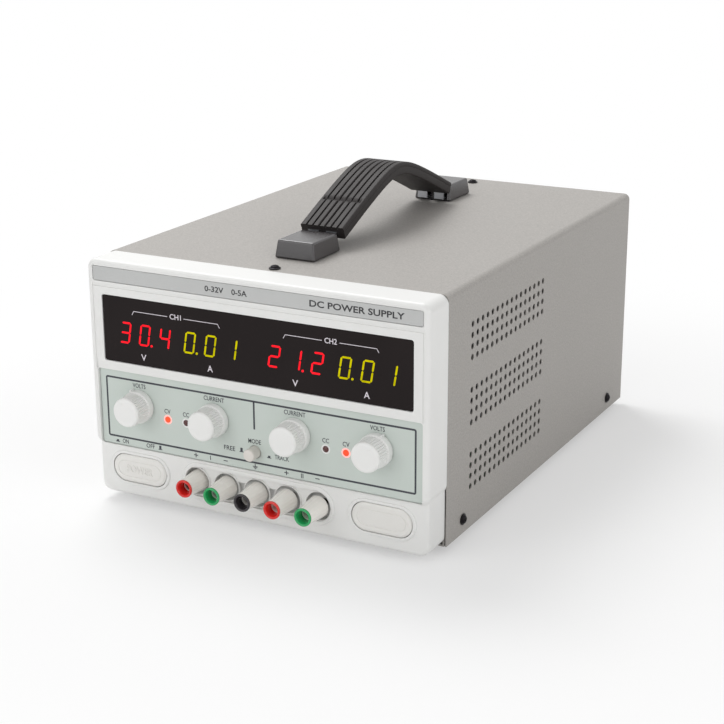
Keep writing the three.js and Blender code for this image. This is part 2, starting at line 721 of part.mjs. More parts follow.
function controlBoard() {
  const back = CONTROL_BOARD_FRONT + BOARD;
  const board = block(
    around(0, 2 * (KNOB_OUTER_X + POT_R + 4)),
    [CONTROL_BOARD_FRONT, back],
    [MODE_Z - MODE_SWITCH, CONTROL_Z + POT_R + 4],
  );
  const cans = KNOBS.map(({ x }) =>
    rodY(POT_R, POT_FRONT, CONTROL_BOARD_FRONT + SEAT, x, CONTROL_Z, ROUND),
  );
  const bushes = KNOBS.map(({ x }) =>
    rodY(BUSH_R, OVERLAY_RECESS + SEAT, POT_FRONT + SEAT, x, CONTROL_Z),
  );
  const bores = KNOBS.map(({ x }) =>
    rodY(SHAFT_R + RUN_R, 0, CONTROL_BOARD_FRONT - POT_FLOOR, x, CONTROL_Z),
  );
  const lamps = LAMPS.map((x) =>
    rodY(LAMP_R, OVERLAY_RECESS - SEAT, CONTROL_BOARD_FRONT + SEAT, x, LAMP_Z),
  );
  const modeSwitch = block(
    around(0, MODE_SWITCH),
    [MODE_FRONT + MODE_LENGTH + MODE_TRAVEL + SEAT, CONTROL_BOARD_FRONT + SEAT],
    around(MODE_Z, MODE_SWITCH),
  );
  return cut(join(board, ...cans, ...bushes, ...lamps, modeSwitch), ...bores);
}

function displayBoard() {
  const moduleFront = WINDOW_RECESS + WINDOW_THICK + 2 * SEAT;
  const front = moduleFront + DIGIT_DEPTH;
  const edge = HALF - WINDOW_MARGIN - LEDGE;
  const corner = WINDOW_HEIGHT / 2 + 2;
  const height = around(WINDOW_Z, 2 * (corner + STANDOFF_R));
  const board = block([-edge, edge], [front, front + BOARD], height);
  const modules = DIGIT_X.map((x) =>
    block(around(x, DIGIT_WIDTH), [moduleFront, front + SEAT], around(WINDOW_Z, DIGIT_HEIGHT)),
  );
  const standoffs = [-1, 1].flatMap((side) =>
    [-corner, corner].map((rise) =>
      rodY(STANDOFF_R, POT_FRONT, front + SEAT, side * (edge - STANDOFF_R), WINDOW_Z + rise),
    ),
  );
  return join(board, ...modules, ...standoffs);
}

// Buttons

function modeButton() {
  const back = MODE_FRONT + MODE_LENGTH;
  return turned([
    [0, MODE_FRONT],
    [MODE_R - 1.2, MODE_FRONT],
    [MODE_R, MODE_FRONT + 1.2],
    [MODE_R, back],
    [0, back],
  ]).translate(0, 0, MODE_Z);
}

function capWithFlange(x, flangeFront) {
  const wide = CAP_WIDTH + 2 * CAP_FLANGE;
  const high = CAP_HEIGHT + 2 * CAP_FLANGE;
  return join(
    alongY(stadium(x, CAP_Z, CAP_WIDTH, CAP_HEIGHT), CAP_FRONT, flangeFront + SEAT),
    alongY(stadium(x, CAP_Z, wide, high), flangeFront, flangeFront + SHEET),
  );
}

function powerFlangeFront() {
  return FRONT_WALL + POWER_OUT + SEAT;
}

// The switch hangs from a bridge whose two feet stand on the front frame, above and below the button.
function powerSwitch() {
  const front = powerFlangeFront() + SHEET + POWER_IN + SEAT;
  const footReach = CAP_HEIGHT / 2 + CAP_FLANGE + POWER_SWITCH_FOOT / 2;
  const width = around(-CAP_X, POWER_SWITCH / 2);
  const body = block(
    around(-CAP_X, POWER_SWITCH),
    [front, front + POWER_SWITCH_DEPTH],
    around(CAP_Z, POWER_SWITCH),
  );
  const bridgeHeight = 2 * footReach + POWER_SWITCH_FOOT;
  const bridge = block(width, [front, front + 2], around(CAP_Z, bridgeHeight));
  const arms = [-footReach, footReach].map((rise) =>
    block(
      width,
      [FRONT_FRAME_BACK + SEAT, front + SEAT],
      around(CAP_Z + rise, POWER_SWITCH_FOOT - 2 * SEAT),
    ),
  );
  return join(body, bridge, ...arms);
}

// Output terminals

function postFront(post) {
  return WELL_FLOOR - SEAT - POST_LENGTH - post.unscrewed;
}

// The nut's front holds the coloured ring; behind it the nut runs on the stud's thread.
function postNut(post) {
  const ringFront = postFront(post);
  const front = ringFront + RING_PROUD;
  const ringBack = ringFront + RING_DEPTH + SEAT;
  const base = ringFront + POST_LENGTH;
  return turned([
    [RING_PLUG_R + SEAT, front],
    [RING_PLUG_R + SEAT, ringBack],
    [POST_THREAD_R + RUN_R, ringBack],
    [POST_THREAD_R + RUN_R, base],
    [POST_BASE_R - 0.5, base],
    [POST_BASE_R, base - 0.5],
    [POST_FRONT_R, front],
    [RING_PLUG_R + SEAT, front],
  ].reverse());
}

function postRing(post) {
  const front = postFront(post);
  const lip = front + RING_PROUD - SEAT;
  const back = front + RING_DEPTH;
  return turned([
    [RING_BORE_R, front],
    [RING_BORE_R, back],
    [RING_PLUG_R, back],
    [RING_PLUG_R, lip],
    [RING_R, lip],
    [RING_R, front + 0.6],
    [RING_R - 0.6, front],
    [RING_BORE_R, front],
  ].reverse());
}

function terminalBoard() {
  const front = BOSS_BACK + SEAT;
  const back = front + TERMINAL_BOARD;
  const board = alongY(stadium(0, POST_Z, RECESS_WIDTH, RECESS_HEIGHT), front, back);
  const studs = POSTS.map((_, i) =>
    rodY(POST_THREAD_R, STUD_FRONT, back + TERMINAL_BOARD, postX(i), POST_Z),
  );
  const sockets = POSTS.map((_, i) =>
    rodY(SOCKET_R, STUD_FRONT - PAST, STUD_FRONT + SOCKET_DEPTH, postX(i), POST_Z),
  );
  return cut(join(board, ...studs), ...sockets);
}

// Carrying handle

function crownDrop(fromMiddle) {
  return Math.hypot(HANDLE_CROWN_SIZE, HANDLE_SLOPE * fromMiddle) - HANDLE_CROWN_SIZE;
}

// One edge of a layer of the strap, offset square to the strap's middle line.
function strapEdge(offset, reach) {
  return Array.from({ length: STRAP_STEPS + 1 }, (_, i) => {
    const along = (2 * i * reach) / STRAP_STEPS - reach;
    const fall = (HANDLE_SLOPE ** 2 * along) / Math.hypot(HANDLE_CROWN_SIZE, HANDLE_SLOPE * along);
    const square = Math.hypot(1, fall);
    const up = HANDLE_CROWN - crownDrop(along);
    return [HANDLE_Y + along + (offset * fall) / square, up + offset / square];
  });
}

function strapLayer(thickness, width, reach) {
  const top = strapEdge(thickness / 2, reach);
  const bottom = strapEdge(-thickness / 2, reach).reverse();
  return alongX(outline([...top, ...bottom]), -width / 2, width / 2);
}

function handleStrap() {
  const channel = strapLayer(SPRING_THICK + 2 * SEAT, SPRING_WIDTH + 2 * SEAT, STRAP_REACH + PAST);
  return cut(strapLayer(STRAP_THICK, STRAP_WIDTH, STRAP_REACH), channel);
}

function prongHeight() {
  return CASE_HEIGHT + SEAT + END_CAP_FLOOR + SEAT;
}

// A steel strip runs through the strap. At each end two prongs step down from it and lie in the cap.
function handleSpring() {
  const strip = strapLayer(SPRING_THICK, SPRING_WIDTH, STRAP_REACH);
  const stripEnd = HANDLE_CROWN - crownDrop(STRAP_REACH);
  const low = prongHeight();
  const prongs = [-1, 1].flatMap((side) =>
    [-PRONG_X, PRONG_X].map((x) => {
      const root = HANDLE_Y + side * STRAP_REACH;
      const step = ordered(root, root + side * SPRING_THICK);
      const lie = ordered(root, root + side * PRONG_LENGTH);
      return join(
        block(around(x, PRONG_WIDTH), step, [low, stripEnd + SPRING_THICK / 2]),
        block(around(x, PRONG_WIDTH), lie, [low, low + SPRING_THICK]),
      );
    }),
  );
  return join(strip, ...prongs);
}

// A box whose top is smaller than its base, as a moulded cap has for its draft.
function drafted([x0, x1], [y0, y1], [z0, z1], share) {
  const box = new THREE.BoxGeometry(x1 - x0, y1 - y0, z1 - z0);
  const position = box.getAttribute("position");
  for (let i = 0; i < position.count; i += 1) {
    const shrink = position.getZ(i) > 0 ? share : 1;
    position.setX(i, position.getX(i) * shrink);
    position.setY(i, position.getY(i) * shrink);
  }
  return box.translate((x0 + x1) / 2, (y0 + y1) / 2, (z0 + z1) / 2);
}

function handleCap(side) {
  const mouth = HANDLE_Y + side * CAP_MOUTH;
  const far = mouth + side * END_CAP_LENGTH;
  const length = ordered(mouth, far);
  const base = CASE_HEIGHT + SEAT;
  const shell = drafted(around(0, END_CAP_WIDTH), length, [base, base + END_CAP_HEIGHT], END_CAP_DRAFT);
  const slotEnd = HANDLE_Y + side * (STRAP_REACH + PRONG_LENGTH + PAST);
  const slotRun = ordered(mouth - side * PAST, slotEnd);
  const slotLow = base + END_CAP_FLOOR;
  const slotHigh = slotLow + SPRING_THICK + HANDLE_LIFT + 2 * SEAT;
  const slots = [-PRONG_X, PRONG_X].map((x) =>
    block(around(x, PRONG_WIDTH + 2 * SEAT), slotRun, [slotLow, slotHigh]),
  );
  return cut(shell, ...slots);
}

// Fan

function fanHousing() {
  const back = REAR_INSIDE - SEAT;
  const front = back - FAN_DEPTH;
  const frame = block(around(FAN_X, FAN_SIZE), [front, back], around(FAN_Z, FAN_SIZE));
  const duct = rodY(FAN_BORE_R, front - PAST, back + PAST, FAN_X, FAN_Z, 2 * ROUND);
  const motor = rodY(FAN_HUB_R, front, front + 3, FAN_X, FAN_Z, ROUND);
  const axle = rodY(FAN_AXLE_R, front, back - 4, FAN_X, FAN_Z);
  const struts = [0, 1, 2, 3].map((quarter) => {
    const strut = block([FAN_HUB_R - 2, FAN_BORE_R + 1], [front, front + 3], [-2, 2]);
    return strut.rotateY((quarter * Math.PI) / 2 + Math.PI / 4).translate(FAN_X, 0, FAN_Z);
  });
  return join(cut(frame, duct), motor, axle, ...struts);
}

function fanRotor() {
  const back = REAR_INSIDE - SEAT - FAN_SPIN_CLEARANCE;
  const front = REAR_INSIDE - SEAT - FAN_DEPTH + 3 + SEAT;
  const tip = FAN_BORE_R - FAN_SPIN_CLEARANCE;
  const hub = rodY(FAN_HUB_R, front, back, 0, 0, ROUND);
  const blades = Array.from({ length: FAN_BLADES }, (_, i) => {
    const blade = new THREE.BoxGeometry(tip - FAN_HUB_R + 2, back - front - 4, 1.2);
    blade.rotateX(0.9).translate((tip + FAN_HUB_R - 2) / 2, (front + back) / 2, 0);
    return blade.rotateY((i * 2 * Math.PI) / FAN_BLADES);
  });
  const bore = rodY(FAN_AXLE_R + RUN_R, front - PAST, back - 2, 0, 0);
  const sweep = rodY(tip, front, back, 0, 0, 2 * ROUND);
  return cut(meet(join(hub, ...blades), sweep), bore).translate(FAN_X, 0, FAN_Z);
}

// Rear connectors

function mainsInlet() {
  const face = REAR_FACE + SEAT + INLET_FLANGE;
  const flange = alongY(
    roundedRect(INLET_X, INLET_Z, INLET_FLANGE_WIDTH, INLET_FLANGE_HEIGHT, 4),
    REAR_FACE + SEAT,
    face,
  );
  const body = block(
    around(INLET_X, INLET_BODY_WIDTH),
    [face - INLET_BODY_DEPTH, face - SEAT],
    around(INLET_Z, INLET_BODY_HEIGHT),
  );
  const cavityZ = INLET_Z + INLET_CAVITY_RISE;
  const cavity = block(
    around(INLET_X, INLET_CAVITY_WIDTH),
    [face - INLET_CAVITY_DEPTH, face + PAST],
    around(cavityZ, INLET_CAVITY_HEIGHT),
  );
  const pins = [[-7, -2], [0, 2], [7, -2]].map(([x, z]) =>
    block(
      around(INLET_X + x, 2),
      [face - INLET_CAVITY_DEPTH - SEAT, face - INLET_CAVITY_DEPTH + INLET_PIN_DEPTH],
      around(cavityZ + z, 4),
    ),
  );
  const drawerHole = block(
    around(INLET_X, FUSE_WIDTH + 2 * SEAT),
    [face - FUSE_DEPTH - SEAT, face + PAST],
    around(INLET_Z - FUSE_DROP, FUSE_HEIGHT + 2 * SEAT),
  );
  return join(cut(join(flange, body), cavity, drawerHole), ...pins);
}

function fuseDrawer() {
  const face = REAR_FACE + SEAT + INLET_FLANGE;
  const z = INLET_Z - FUSE_DROP;
  const drawer = block(around(INLET_X, FUSE_WIDTH), [face - FUSE_DEPTH, face], around(z, FUSE_HEIGHT));
  const fuseBay = block(
    around(INLET_X, FUSE_WIDTH - 3),
    [face - FUSE_DEPTH + 1.5, face - 6],
    [z - 1.5, z + FUSE_HEIGHT],
  );
  return cut(drawer, fuseBay);
}

function voltageSelector() {
  const face = REAR_FACE + SEAT + SHEET;
  const flange = block(
    around(INLET_X, SELECTOR_WIDTH),
    [REAR_FACE + SEAT, face],
    around(SELECTOR_Z, SELECTOR_HEIGHT),
  );
  const body = block(
    around(INLET_X, SELECTOR_WIDTH - 4),
    [face - SELECTOR_DEPTH, face - SEAT],
    around(SELECTOR_Z, SELECTOR_HEIGHT - 2),
  );
  const slot = block(
    around(INLET_X, SLIDER_WIDTH + SLIDER_TRAVEL + 2 * RUN_R),
    [face - SELECTOR_DEPTH / 2, face + PAST],
    around(SELECTOR_Z, SLIDER_HEIGHT + 2 * RUN_R),
  );
  return cut(join(flange, body), slot);
}

function selectorSlider() {
  const face = REAR_FACE + SEAT + SHEET;
  const back = face - SELECTOR_DEPTH / 2 + SEAT;
  const width = around(INLET_X - SLIDER_TRAVEL / 2, SLIDER_WIDTH);
  return block(width, [back, face - SEAT], around(SELECTOR_Z, SLIDER_HEIGHT));
}

// Inside

function transformerCore() {
  const low = SHEET + SEAT;
  const side = (CORE_WIDTH - CORE_LEG) / 4; // an outer leg, half as wide as a window and itself
  const stack = around(CORE_Y, CORE_STACK);
  const windows = [-1, 1].map((hand) =>
    block(
      around(CORE_X + hand * (CORE_LEG / 2 + side / 2), side),
      [stack[0] - PAST, stack[1] + PAST],
      [low + side, low + CORE_HEIGHT - side],
    ),
  );
  return cut(block(around(CORE_X, CORE_WIDTH), stack, [low, low + CORE_HEIGHT]), ...windows);
}

function transformerCoil() {
  const side = (CORE_WIDTH - CORE_LEG) / 4;
  const low = SHEET + SEAT + side + SEAT;
  const high = SHEET + SEAT + CORE_HEIGHT - side - SEAT;
  const wide = CORE_LEG + 2 * (side - SEAT);
  const long = CORE_STACK + 2 * COIL_BULGE;
  return cut(
    block(around(CORE_X, wide), around(CORE_Y, long), [low, high]),
    block(
      around(CORE_X, CORE_LEG + 2 * SEAT),
      around(CORE_Y, CORE_STACK + 2 * SEAT),
      [low - PAST, high + PAST],
    ),
  );
}

function mainBoard() {
  const low = SHEET + SEAT;
  const under = low + STANDOFF_HEIGHT;
  const halfWide = MAIN_BOARD_WIDTH / 2 - STANDOFF_R - 1;
  const halfLong = MAIN_BOARD_LENGTH / 2 - STANDOFF_R - 1;
  const board = block(
    around(MAIN_BOARD_X, MAIN_BOARD_WIDTH),
    around(MAIN_BOARD_Y, MAIN_BOARD_LENGTH),
    [under, under + BOARD],
  );
  const standoffs = [-halfWide, halfWide].flatMap((x) =>
    [-halfLong, halfLong].map((y) =>
      rodZ(STANDOFF_R, low, under + SEAT, MAIN_BOARD_X + x, MAIN_BOARD_Y + y),
    ),
  );
  return join(board, ...standoffs);
}

function capacitor(side) {
  const low = SHEET + SEAT + STANDOFF_HEIGHT + BOARD + SEAT;
  const y = MAIN_BOARD_Y + (side * CAPACITOR_SPACING) / 2;
  return rodZ(CAPACITOR_R, low, low + CAPACITOR_HEIGHT, MAIN_BOARD_X, y, ROUND);
}

function heatsink() {
  const low = SHEET + SEAT;
  const rear = REAR_INSIDE - SEAT - FAN_DEPTH - SINK_FAN_GAP;
  const length = [rear - SINK_LENGTH, rear];
  const base = block(around(FAN_X, SINK_WIDTH), length, [low, low + SINK_BASE]);
  const gap = (SINK_WIDTH - SINK_FIN) / (SINK_FINS - 1);
  const fins = Array.from({ length: SINK_FINS }, (_, i) => {
    const x = FAN_X - (SINK_WIDTH - SINK_FIN) / 2 + i * gap;
    return block(around(x, SINK_FIN), length, [low + SINK_BASE - SEAT, low + SINK_HEIGHT]);
  });
  return join(base, ...fins);
}

// Assembly

const supply = new THREE.Group();

supply.add(
  piece("front_bezel", frontBezel(), WHITE_PLASTIC),
  piece("top_cover", topCover(), PAINT),
  piece("base_pan", basePan(), PAINT),
  piece("rear_panel", rearPanel(), PAINT),
  piece("front_subpanel", frontSubpanel(), STEEL),
  piece("name_strip", nameStrip(), GREY_PLASTIC),
  piece("display_window", displayWindow(), SMOKED_ACRYLIC),
  piece("control_overlay", controlOverlay(), OVERLAY_GREEN),
  piece("control_board", controlBoard(), BOARD_GREEN),
  piece("display_board", displayBoard(), BOARD_GREEN),
  piece("mode_button", modeButton(), WHITE_PLASTIC),
  piece("power_button", capWithFlange(-CAP_X, powerFlangeFront()), WHITE_PLASTIC),
  piece("power_switch", powerSwitch(), BLACK_PLASTIC),
  piece("blank_cap", capWithFlange(CAP_X, FRONT_WALL + SEAT), WHITE_PLASTIC),
  piece("terminal_board", terminalBoard(), BRASS),
  piece("handle_strap", handleStrap(), BLACK_RUBBER),
  piece("handle_spring", handleSpring(), STEEL),
  piece("handle_cap_front", handleCap(-1), BLACK_PLASTIC),
  piece("handle_cap_rear", handleCap(1), BLACK_PLASTIC),
  piece("fan_housing", fanHousing(), BLACK_PLASTIC),
  piece("fan_rotor", fanRotor(), BLACK_PLASTIC),
  piece("mains_inlet", mainsInlet(), BLACK_PLASTIC),
  piece("fuse_drawer", fuseDrawer(), BLACK_PLASTIC),
  piece("voltage_selector", voltageSelector(), BLACK_PLASTIC),
  piece("selector_slider", selectorSlider(), RED_PLASTIC),
  piece("transformer_core", transformerCore(), STEEL),
  piece("transformer_coil", transformerCoil(), COIL_YELLOW),
  piece("main_board", mainBoard(), BOARD_GREEN),
  piece("capacitor_front", capacitor(-1), BLACK_PLASTIC),
  piece("capacitor_rear", capacitor(1), BLACK_PLASTIC),
  piece("heatsink", heatsink(), ALUMINIUM),
);

KNOBS.forEach(({ name, x, angle }) => {
  const control = new THREE.Group();
  control.position.set(x, 0, CONTROL_Z);
  control.rotation.y = THREE.MathUtils.degToRad(angle);
  control.add(
    piece(`knob_${name}`, knob(), WHITE_PLASTIC),
    piece(`shaft_${name}`, shaft(), BRASS),
  );
  supply.add(control);
});

POSTS.forEach((post, i) => {
  const terminal = new THREE.Group();
  terminal.position.set(postX(i), 0, POST_Z);
  terminal.add(
    piece(`post_nut_${post.name}`, postNut(post), BEIGE_PLASTIC),
    piece(`post_ring_${post.name}`, postRing(post), { ...BEIGE_PLASTIC, color: post.colour }),
  );
  supply.add(terminal);
});

coverScrews().forEach((screw) => supply.add(piece(screw.name, coverScrew(screw), BLACK_PLASTIC)));
footPlaces().forEach((place) => supply.add(piece(place.name, foot(place), BLACK_RUBBER)));

const rearMost = Math.max(CASE_DEPTH, REAR_FACE + SEAT + INLET_FLANGE);
supply.position.set(0, (POST_REACH - rearMost) / 2, FOOT_HEIGHT);

const part = new THREE.Group();
part.add(supply);

export default part;
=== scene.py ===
# %% [markdown]
# # A bench power supply with two outputs
# A laboratory supply turns mains into two adjustable direct voltages. Its body is a folded steel
# case behind a moulded front frame, with knobs, lamps, a smoked display window, five output
# terminals and a strap to carry it by. The packed CAD model gives every size. This lesson dresses
# that model: each visible piece gets its real edges, prints and finish, and none of them is
# moved.

# %% Load the frame
import math

import bmesh
import bpy
from mathutils import Matrix, Vector


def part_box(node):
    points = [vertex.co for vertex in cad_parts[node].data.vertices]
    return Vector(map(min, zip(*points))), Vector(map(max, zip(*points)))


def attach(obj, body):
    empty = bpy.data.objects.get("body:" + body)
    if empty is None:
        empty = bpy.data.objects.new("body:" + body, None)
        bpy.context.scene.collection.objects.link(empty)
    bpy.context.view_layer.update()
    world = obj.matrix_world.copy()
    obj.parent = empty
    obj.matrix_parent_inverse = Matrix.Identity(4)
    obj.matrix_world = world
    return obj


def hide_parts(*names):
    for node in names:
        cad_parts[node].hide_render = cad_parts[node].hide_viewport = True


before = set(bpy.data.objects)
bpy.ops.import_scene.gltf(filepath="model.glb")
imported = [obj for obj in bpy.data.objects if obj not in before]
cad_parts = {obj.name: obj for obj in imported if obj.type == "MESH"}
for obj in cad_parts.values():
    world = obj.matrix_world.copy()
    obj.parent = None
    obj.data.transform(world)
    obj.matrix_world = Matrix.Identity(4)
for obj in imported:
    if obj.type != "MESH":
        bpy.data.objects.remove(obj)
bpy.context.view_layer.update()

# %% [markdown]
# ## A workshop frame in millimetres
# Blender works in metres, and a front panel is easier to think about in millimetres from its own
# corner. One matrix does the change: Y starts at the front of the bezel and Z at the underside of
# the case. Both places are read from the CAD pieces, so they can't drift from them.

# %% Millimetres from the front and the underside
MM = 0.001
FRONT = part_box("front_bezel")[0].y
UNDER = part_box("top_cover")[0].z
TO_FRAME = Matrix.Translation((0, FRONT, UNDER)) @ Matrix.Scale(MM, 4)


def span(node):
    """A CAD node's lowest and highest corner, in millimetres of the workshop frame."""
    return [TO_FRAME.inverted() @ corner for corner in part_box(node)]


case_low, case_high = span("top_cover")
HALF = case_high.x
TOP = case_high.z
BACK = case_high.y
print("case is", 2 * HALF, "wide,", round(TOP, 1), "high and", round(BACK, 1), "deep")

# %% [markdown]
# ## The camera
# The case is seen from a little above and to the right, through a lens of about twice the normal
# length, so that it keeps its proportions. The camera's turn is built from its azimuth, its
# elevation and a slight roll, which are the three things that a tripod head sets.

# %% Camera
AZIMUTH, ELEVATION, ROLL = (math.radians(a) for a in (28.053, 17.798, -0.261))
EYE = (543.92, -866.17, 442.86)
SENSOR, LENS = 36, 81.41271

camera = bpy.data.cameras.new("camera")
camera.sensor_width = SENSOR
camera.lens = LENS
camera.clip_end = 50
eye = bpy.data.objects.new("camera", camera)
turn = Matrix.Rotation(AZIMUTH, 4, "Z") @ Matrix.Rotation(math.pi / 2 - ELEVATION, 4, "X")
turn = turn @ Matrix.Rotation(ROLL, 4, "Z")
eye.matrix_world = Matrix.Translation(TO_FRAME @ Vector(EYE)) @ turn
bpy.context.scene.collection.objects.link(eye)
bpy.context.scene.camera = eye
print("camera stands at", [round(v, 3) for v in eye.location])
print("lens", round(camera.lens, 1), "on a sensor of", SENSOR)

# %% [markdown]
# ## A white room
# The object stands in a white studio tent, where light comes from everywhere. The world could
# simply be bright, but then it would light the object as strongly as it looks. So it looks white
# to the camera, in reflections and through glass, and lights the object at half that.

# %% World
VIEW = bpy.context.scene.view_settings
VIEW.view_transform = "Standard"
AMBIENT, WHITE = 0.5, (1, 1, 1, 1)

world = bpy.data.worlds.new("studio")
bpy.context.scene.world = world
world.use_nodes = True
sky = world.node_tree.nodes
sky.clear()
wire = world.node_tree.links.new
rays = sky.new("ShaderNodeLightPath")
seen, seen_or_glass = (sky.new("ShaderNodeMath") for _ in range(2))
seen.operation = seen_or_glass.operation = "MAXIMUM"
wire(rays.outputs["Is Camera Ray"], seen.inputs[0])
wire(rays.outputs["Is Glossy Ray"], seen.inputs[1])
wire(seen.outputs[0], seen_or_glass.inputs[0])
wire(rays.outputs["Is Transmission Ray"], seen_or_glass.inputs[1])
ambient, white = (sky.new("ShaderNodeBackground") for _ in range(2))
for background in (ambient, white):
    background.inputs["Color"].default_value = WHITE
ambient.inputs["Strength"].default_value = AMBIENT
choose = sky.new("ShaderNodeMixShader")
wire(seen_or_glass.outputs[0], choose.inputs[0])
wire(ambient.outputs[0], choose.inputs[1])
wire(white.outputs[0], choose.inputs[2])
wire(choose.outputs[0], sky.new("ShaderNodeOutputWorld").inputs[0])
print("world gives light at", AMBIENT, "and is seen at", white.inputs["Strength"].default_value)

# %% [markdown]
# ## Three soft boxes
# A soft box is a lamp behind a sheet of white cloth, so an area light stands for it. The one
# above and behind on the left brightens the top and throws the strap's soft shadow to the right.
# The one in front fills the panel, and the one on the right lifts the side with the air holes.
# Each is turned to face the middle of the case.

# %% Soft boxes
MIDDLE_OF_CASE = Vector((0, 0, 0.08))
SOFT_BOXES = {
    "lamp_above": ((-0.9, 0.55, 1.9), 1.1, 26),
    "lamp_front": ((-0.7, -2.2, 1.1), 1.8, 15),
    "lamp_right": ((2.3, -0.5, 1.0), 1.6, 12),
}
for name, (place, size, power) in SOFT_BOXES.items():
    light = bpy.data.lights.new(name, "AREA")
    light.size = size
    light.energy = power
    soft_box = bpy.data.objects.new(name, light)
    facing = (MIDDLE_OF_CASE - Vector(place)).to_track_quat("-Z", "Y").to_matrix().to_4x4()
    soft_box.matrix_world = Matrix.Translation(place) @ facing
    bpy.context.scene.collection.objects.link(soft_box)
print("soft boxes", len(bpy.data.lights))

# %% [markdown]
# ## Shader maths
# A finish is mostly arithmetic on a few patterns. The class below wraps one output of a node and
# overloads Python's operators, so that a roughness reads as 0.4 + 0.1 * grain instead of as a
# heap of node calls. Colours never go through a Math node, which would turn them grey: they are
# mixed.


# %% A wrapped socket
class Signal:
    """One value in a shader tree, on which + - * and > add Math nodes."""

    def __init__(self, tree, socket):
        self.tree = tree
        self.socket = socket

    def maths(self, operation, *values):
        node = self.tree.nodes.new("ShaderNodeMath")
        node.operation = operation
        for socket, value in zip(node.inputs, values):
            feed(self.tree, socket, value)
        return Signal(self.tree, node.outputs[0])

    def __add__(self, other):
        return self.maths("ADD", self, other)

    def __sub__(self, other):
        return self.maths("SUBTRACT", self, other)

    def __rsub__(self, other):
        return self.maths("SUBTRACT", other, self)

    def __mul__(self, other):
        return self.maths("MULTIPLY", self, other)

    def __gt__(self, other):
        return self.maths("GREATER_THAN", self, other)

    __radd__ = __add__
    __rmul__ = __mul__


def feed(tree, socket, value):
    """Gives a socket a link or a plain value."""
    if isinstance(value, Signal):
        tree.links.new(value.socket, socket)
    else:
        socket.default_value = value


print("reflected operators", [name for name in vars(Signal) if name.startswith("__r")])

# %% [markdown]
# ## Colours in linear light
# A colour is easiest to judge as it looks on a screen, from 0 to 255. Shaders reckon in linear
# light, where half the number is half the light, so each colour is changed over before it is
# used.


# %% Colours
def tint(red, green, blue):
    """A screen colour in linear light, with an alpha of 1."""
    screen = [value / 255 for value in (red, green, blue)]
    return (*(((v + 0.055) / 1.055) ** 2.4 if v > 0.04 else v / 12.92 for v in screen), 1)


print("a middle grey is", round(tint(128, 128, 128)[0], 3), "in linear light")

# %% [markdown]
# ## One class for every finish
# Each finish is a material on the Principled shader, fed with a few patterns. The class keeps the
# material, its node tree and the place on the piece together, so that a recipe reads like a list
# of what is seen: clouds, pits, scratches. Patterns read Object coordinates, so their sizes are
# real ones and no piece needs a UV map.


# %% A finish
class Finish:
    """A material on the Principled shader, with what every finish here needs."""

    def __init__(self, name, **constants):
        self.material = bpy.data.materials.new(name)
        self.material.use_nodes = True
        self.tree = self.material.node_tree
        self.shader = self.tree.nodes["Principled BSDF"]
        for name, value in constants.items():
            self.shader.inputs[name.replace("_", " ")].default_value = value
        self.place = self.node("TexCoord", output="Object")

    def node(self, kind, settings=None, sockets=None, output=0):
        """Adds a node of any kind: its settings first, then its sockets' values or links."""
        made = self.tree.nodes.new("ShaderNode" + kind)
        for name, value in (settings or {}).items():
            setattr(made, name, value)
        for name, value in (sockets or {}).items():
            feed(self.tree, made.inputs[name], value)
        return Signal(self.tree, made.outputs[output])

    def stretched(self, x, y, z):
        """The place on the piece with its axes stretched, for a grain that runs one way."""
        return self.node("Mapping", None, {"Vector": self.place, "Scale": (x, y, z)})

    def grain(self, size, detail=2.0, place=None):
        """Noise from 0 to 1 whose spots are about size millimetres across."""
        sockets = {"Vector": place or self.place, "Scale": 1 / (size * MM), "Detail": detail}
        return self.node("TexNoise", None, sockets)

    def specks(self, size):
        """Cells about size millimetres across, each with its own grey from 0 to 1."""
        sockets = {"Vector": self.place, "Scale": 1 / (size * MM)}
        return self.node("TexVoronoi", {"feature": "F1"}, sockets)

    def mixed(self, share, first, second):
        """A colour between two others."""
        return self.node("Mix", {"data_type": "RGBA"}, {0: share, 6: first, 7: second}, output=2)

    def wear(self, **inputs):
        """Feeds the shader's varying inputs, such as Base_Color and Roughness."""
        for name, value in inputs.items():
            feed(self.tree, self.shader.inputs[name.replace("_", " ")], value)
        return self

    def dented(self, height, depth, strength=1.0):
        """Turns a height from 0 to 1 into a bump that is depth millimetres deep."""
        sockets = {"Height": height, "Distance": depth * MM, "Strength": strength}
        return self.wear(Normal=self.node("Bump", None, sockets))


print("a finish can be", ", ".join(name for name in vars(Finish) if not name.startswith("_")))

# %% [markdown]
# ## Moulded plastic
# Moulded plastic is never one flat colour. The steel mould is spark-eroded, which leaves a fine
# even grain; the melt flows unevenly, which leaves broad clouds a hair lighter or darker; and
# handling polishes it in patches. One recipe covers all moulded parts and the printed inks, and
# each calls it with its own colours, grain and gloss.

# %% Moulded plastic
CLOUD_SIZE, RUB_SIZE = 38, 9


def moulded(name, light, dark, gloss, grain=0.35, depth=0.02, **constants):
    """Textured plastic between a light and a dark colour, with a roughness of gloss."""
    finish = Finish(name, **constants)
    clouds = finish.grain(CLOUD_SIZE, 3.0)
    pits = finish.grain(grain, 2.0)
    rubbed = finish.grain(RUB_SIZE, 4.0)
    colour = finish.mixed(0.65 * clouds + 0.35 * pits, dark, light)
    finish.wear(Base_Color=colour, Roughness=gloss - 0.06 + 0.08 * rubbed + 0.04 * pits)
    finish.dented(pits, depth)
    return finish.material


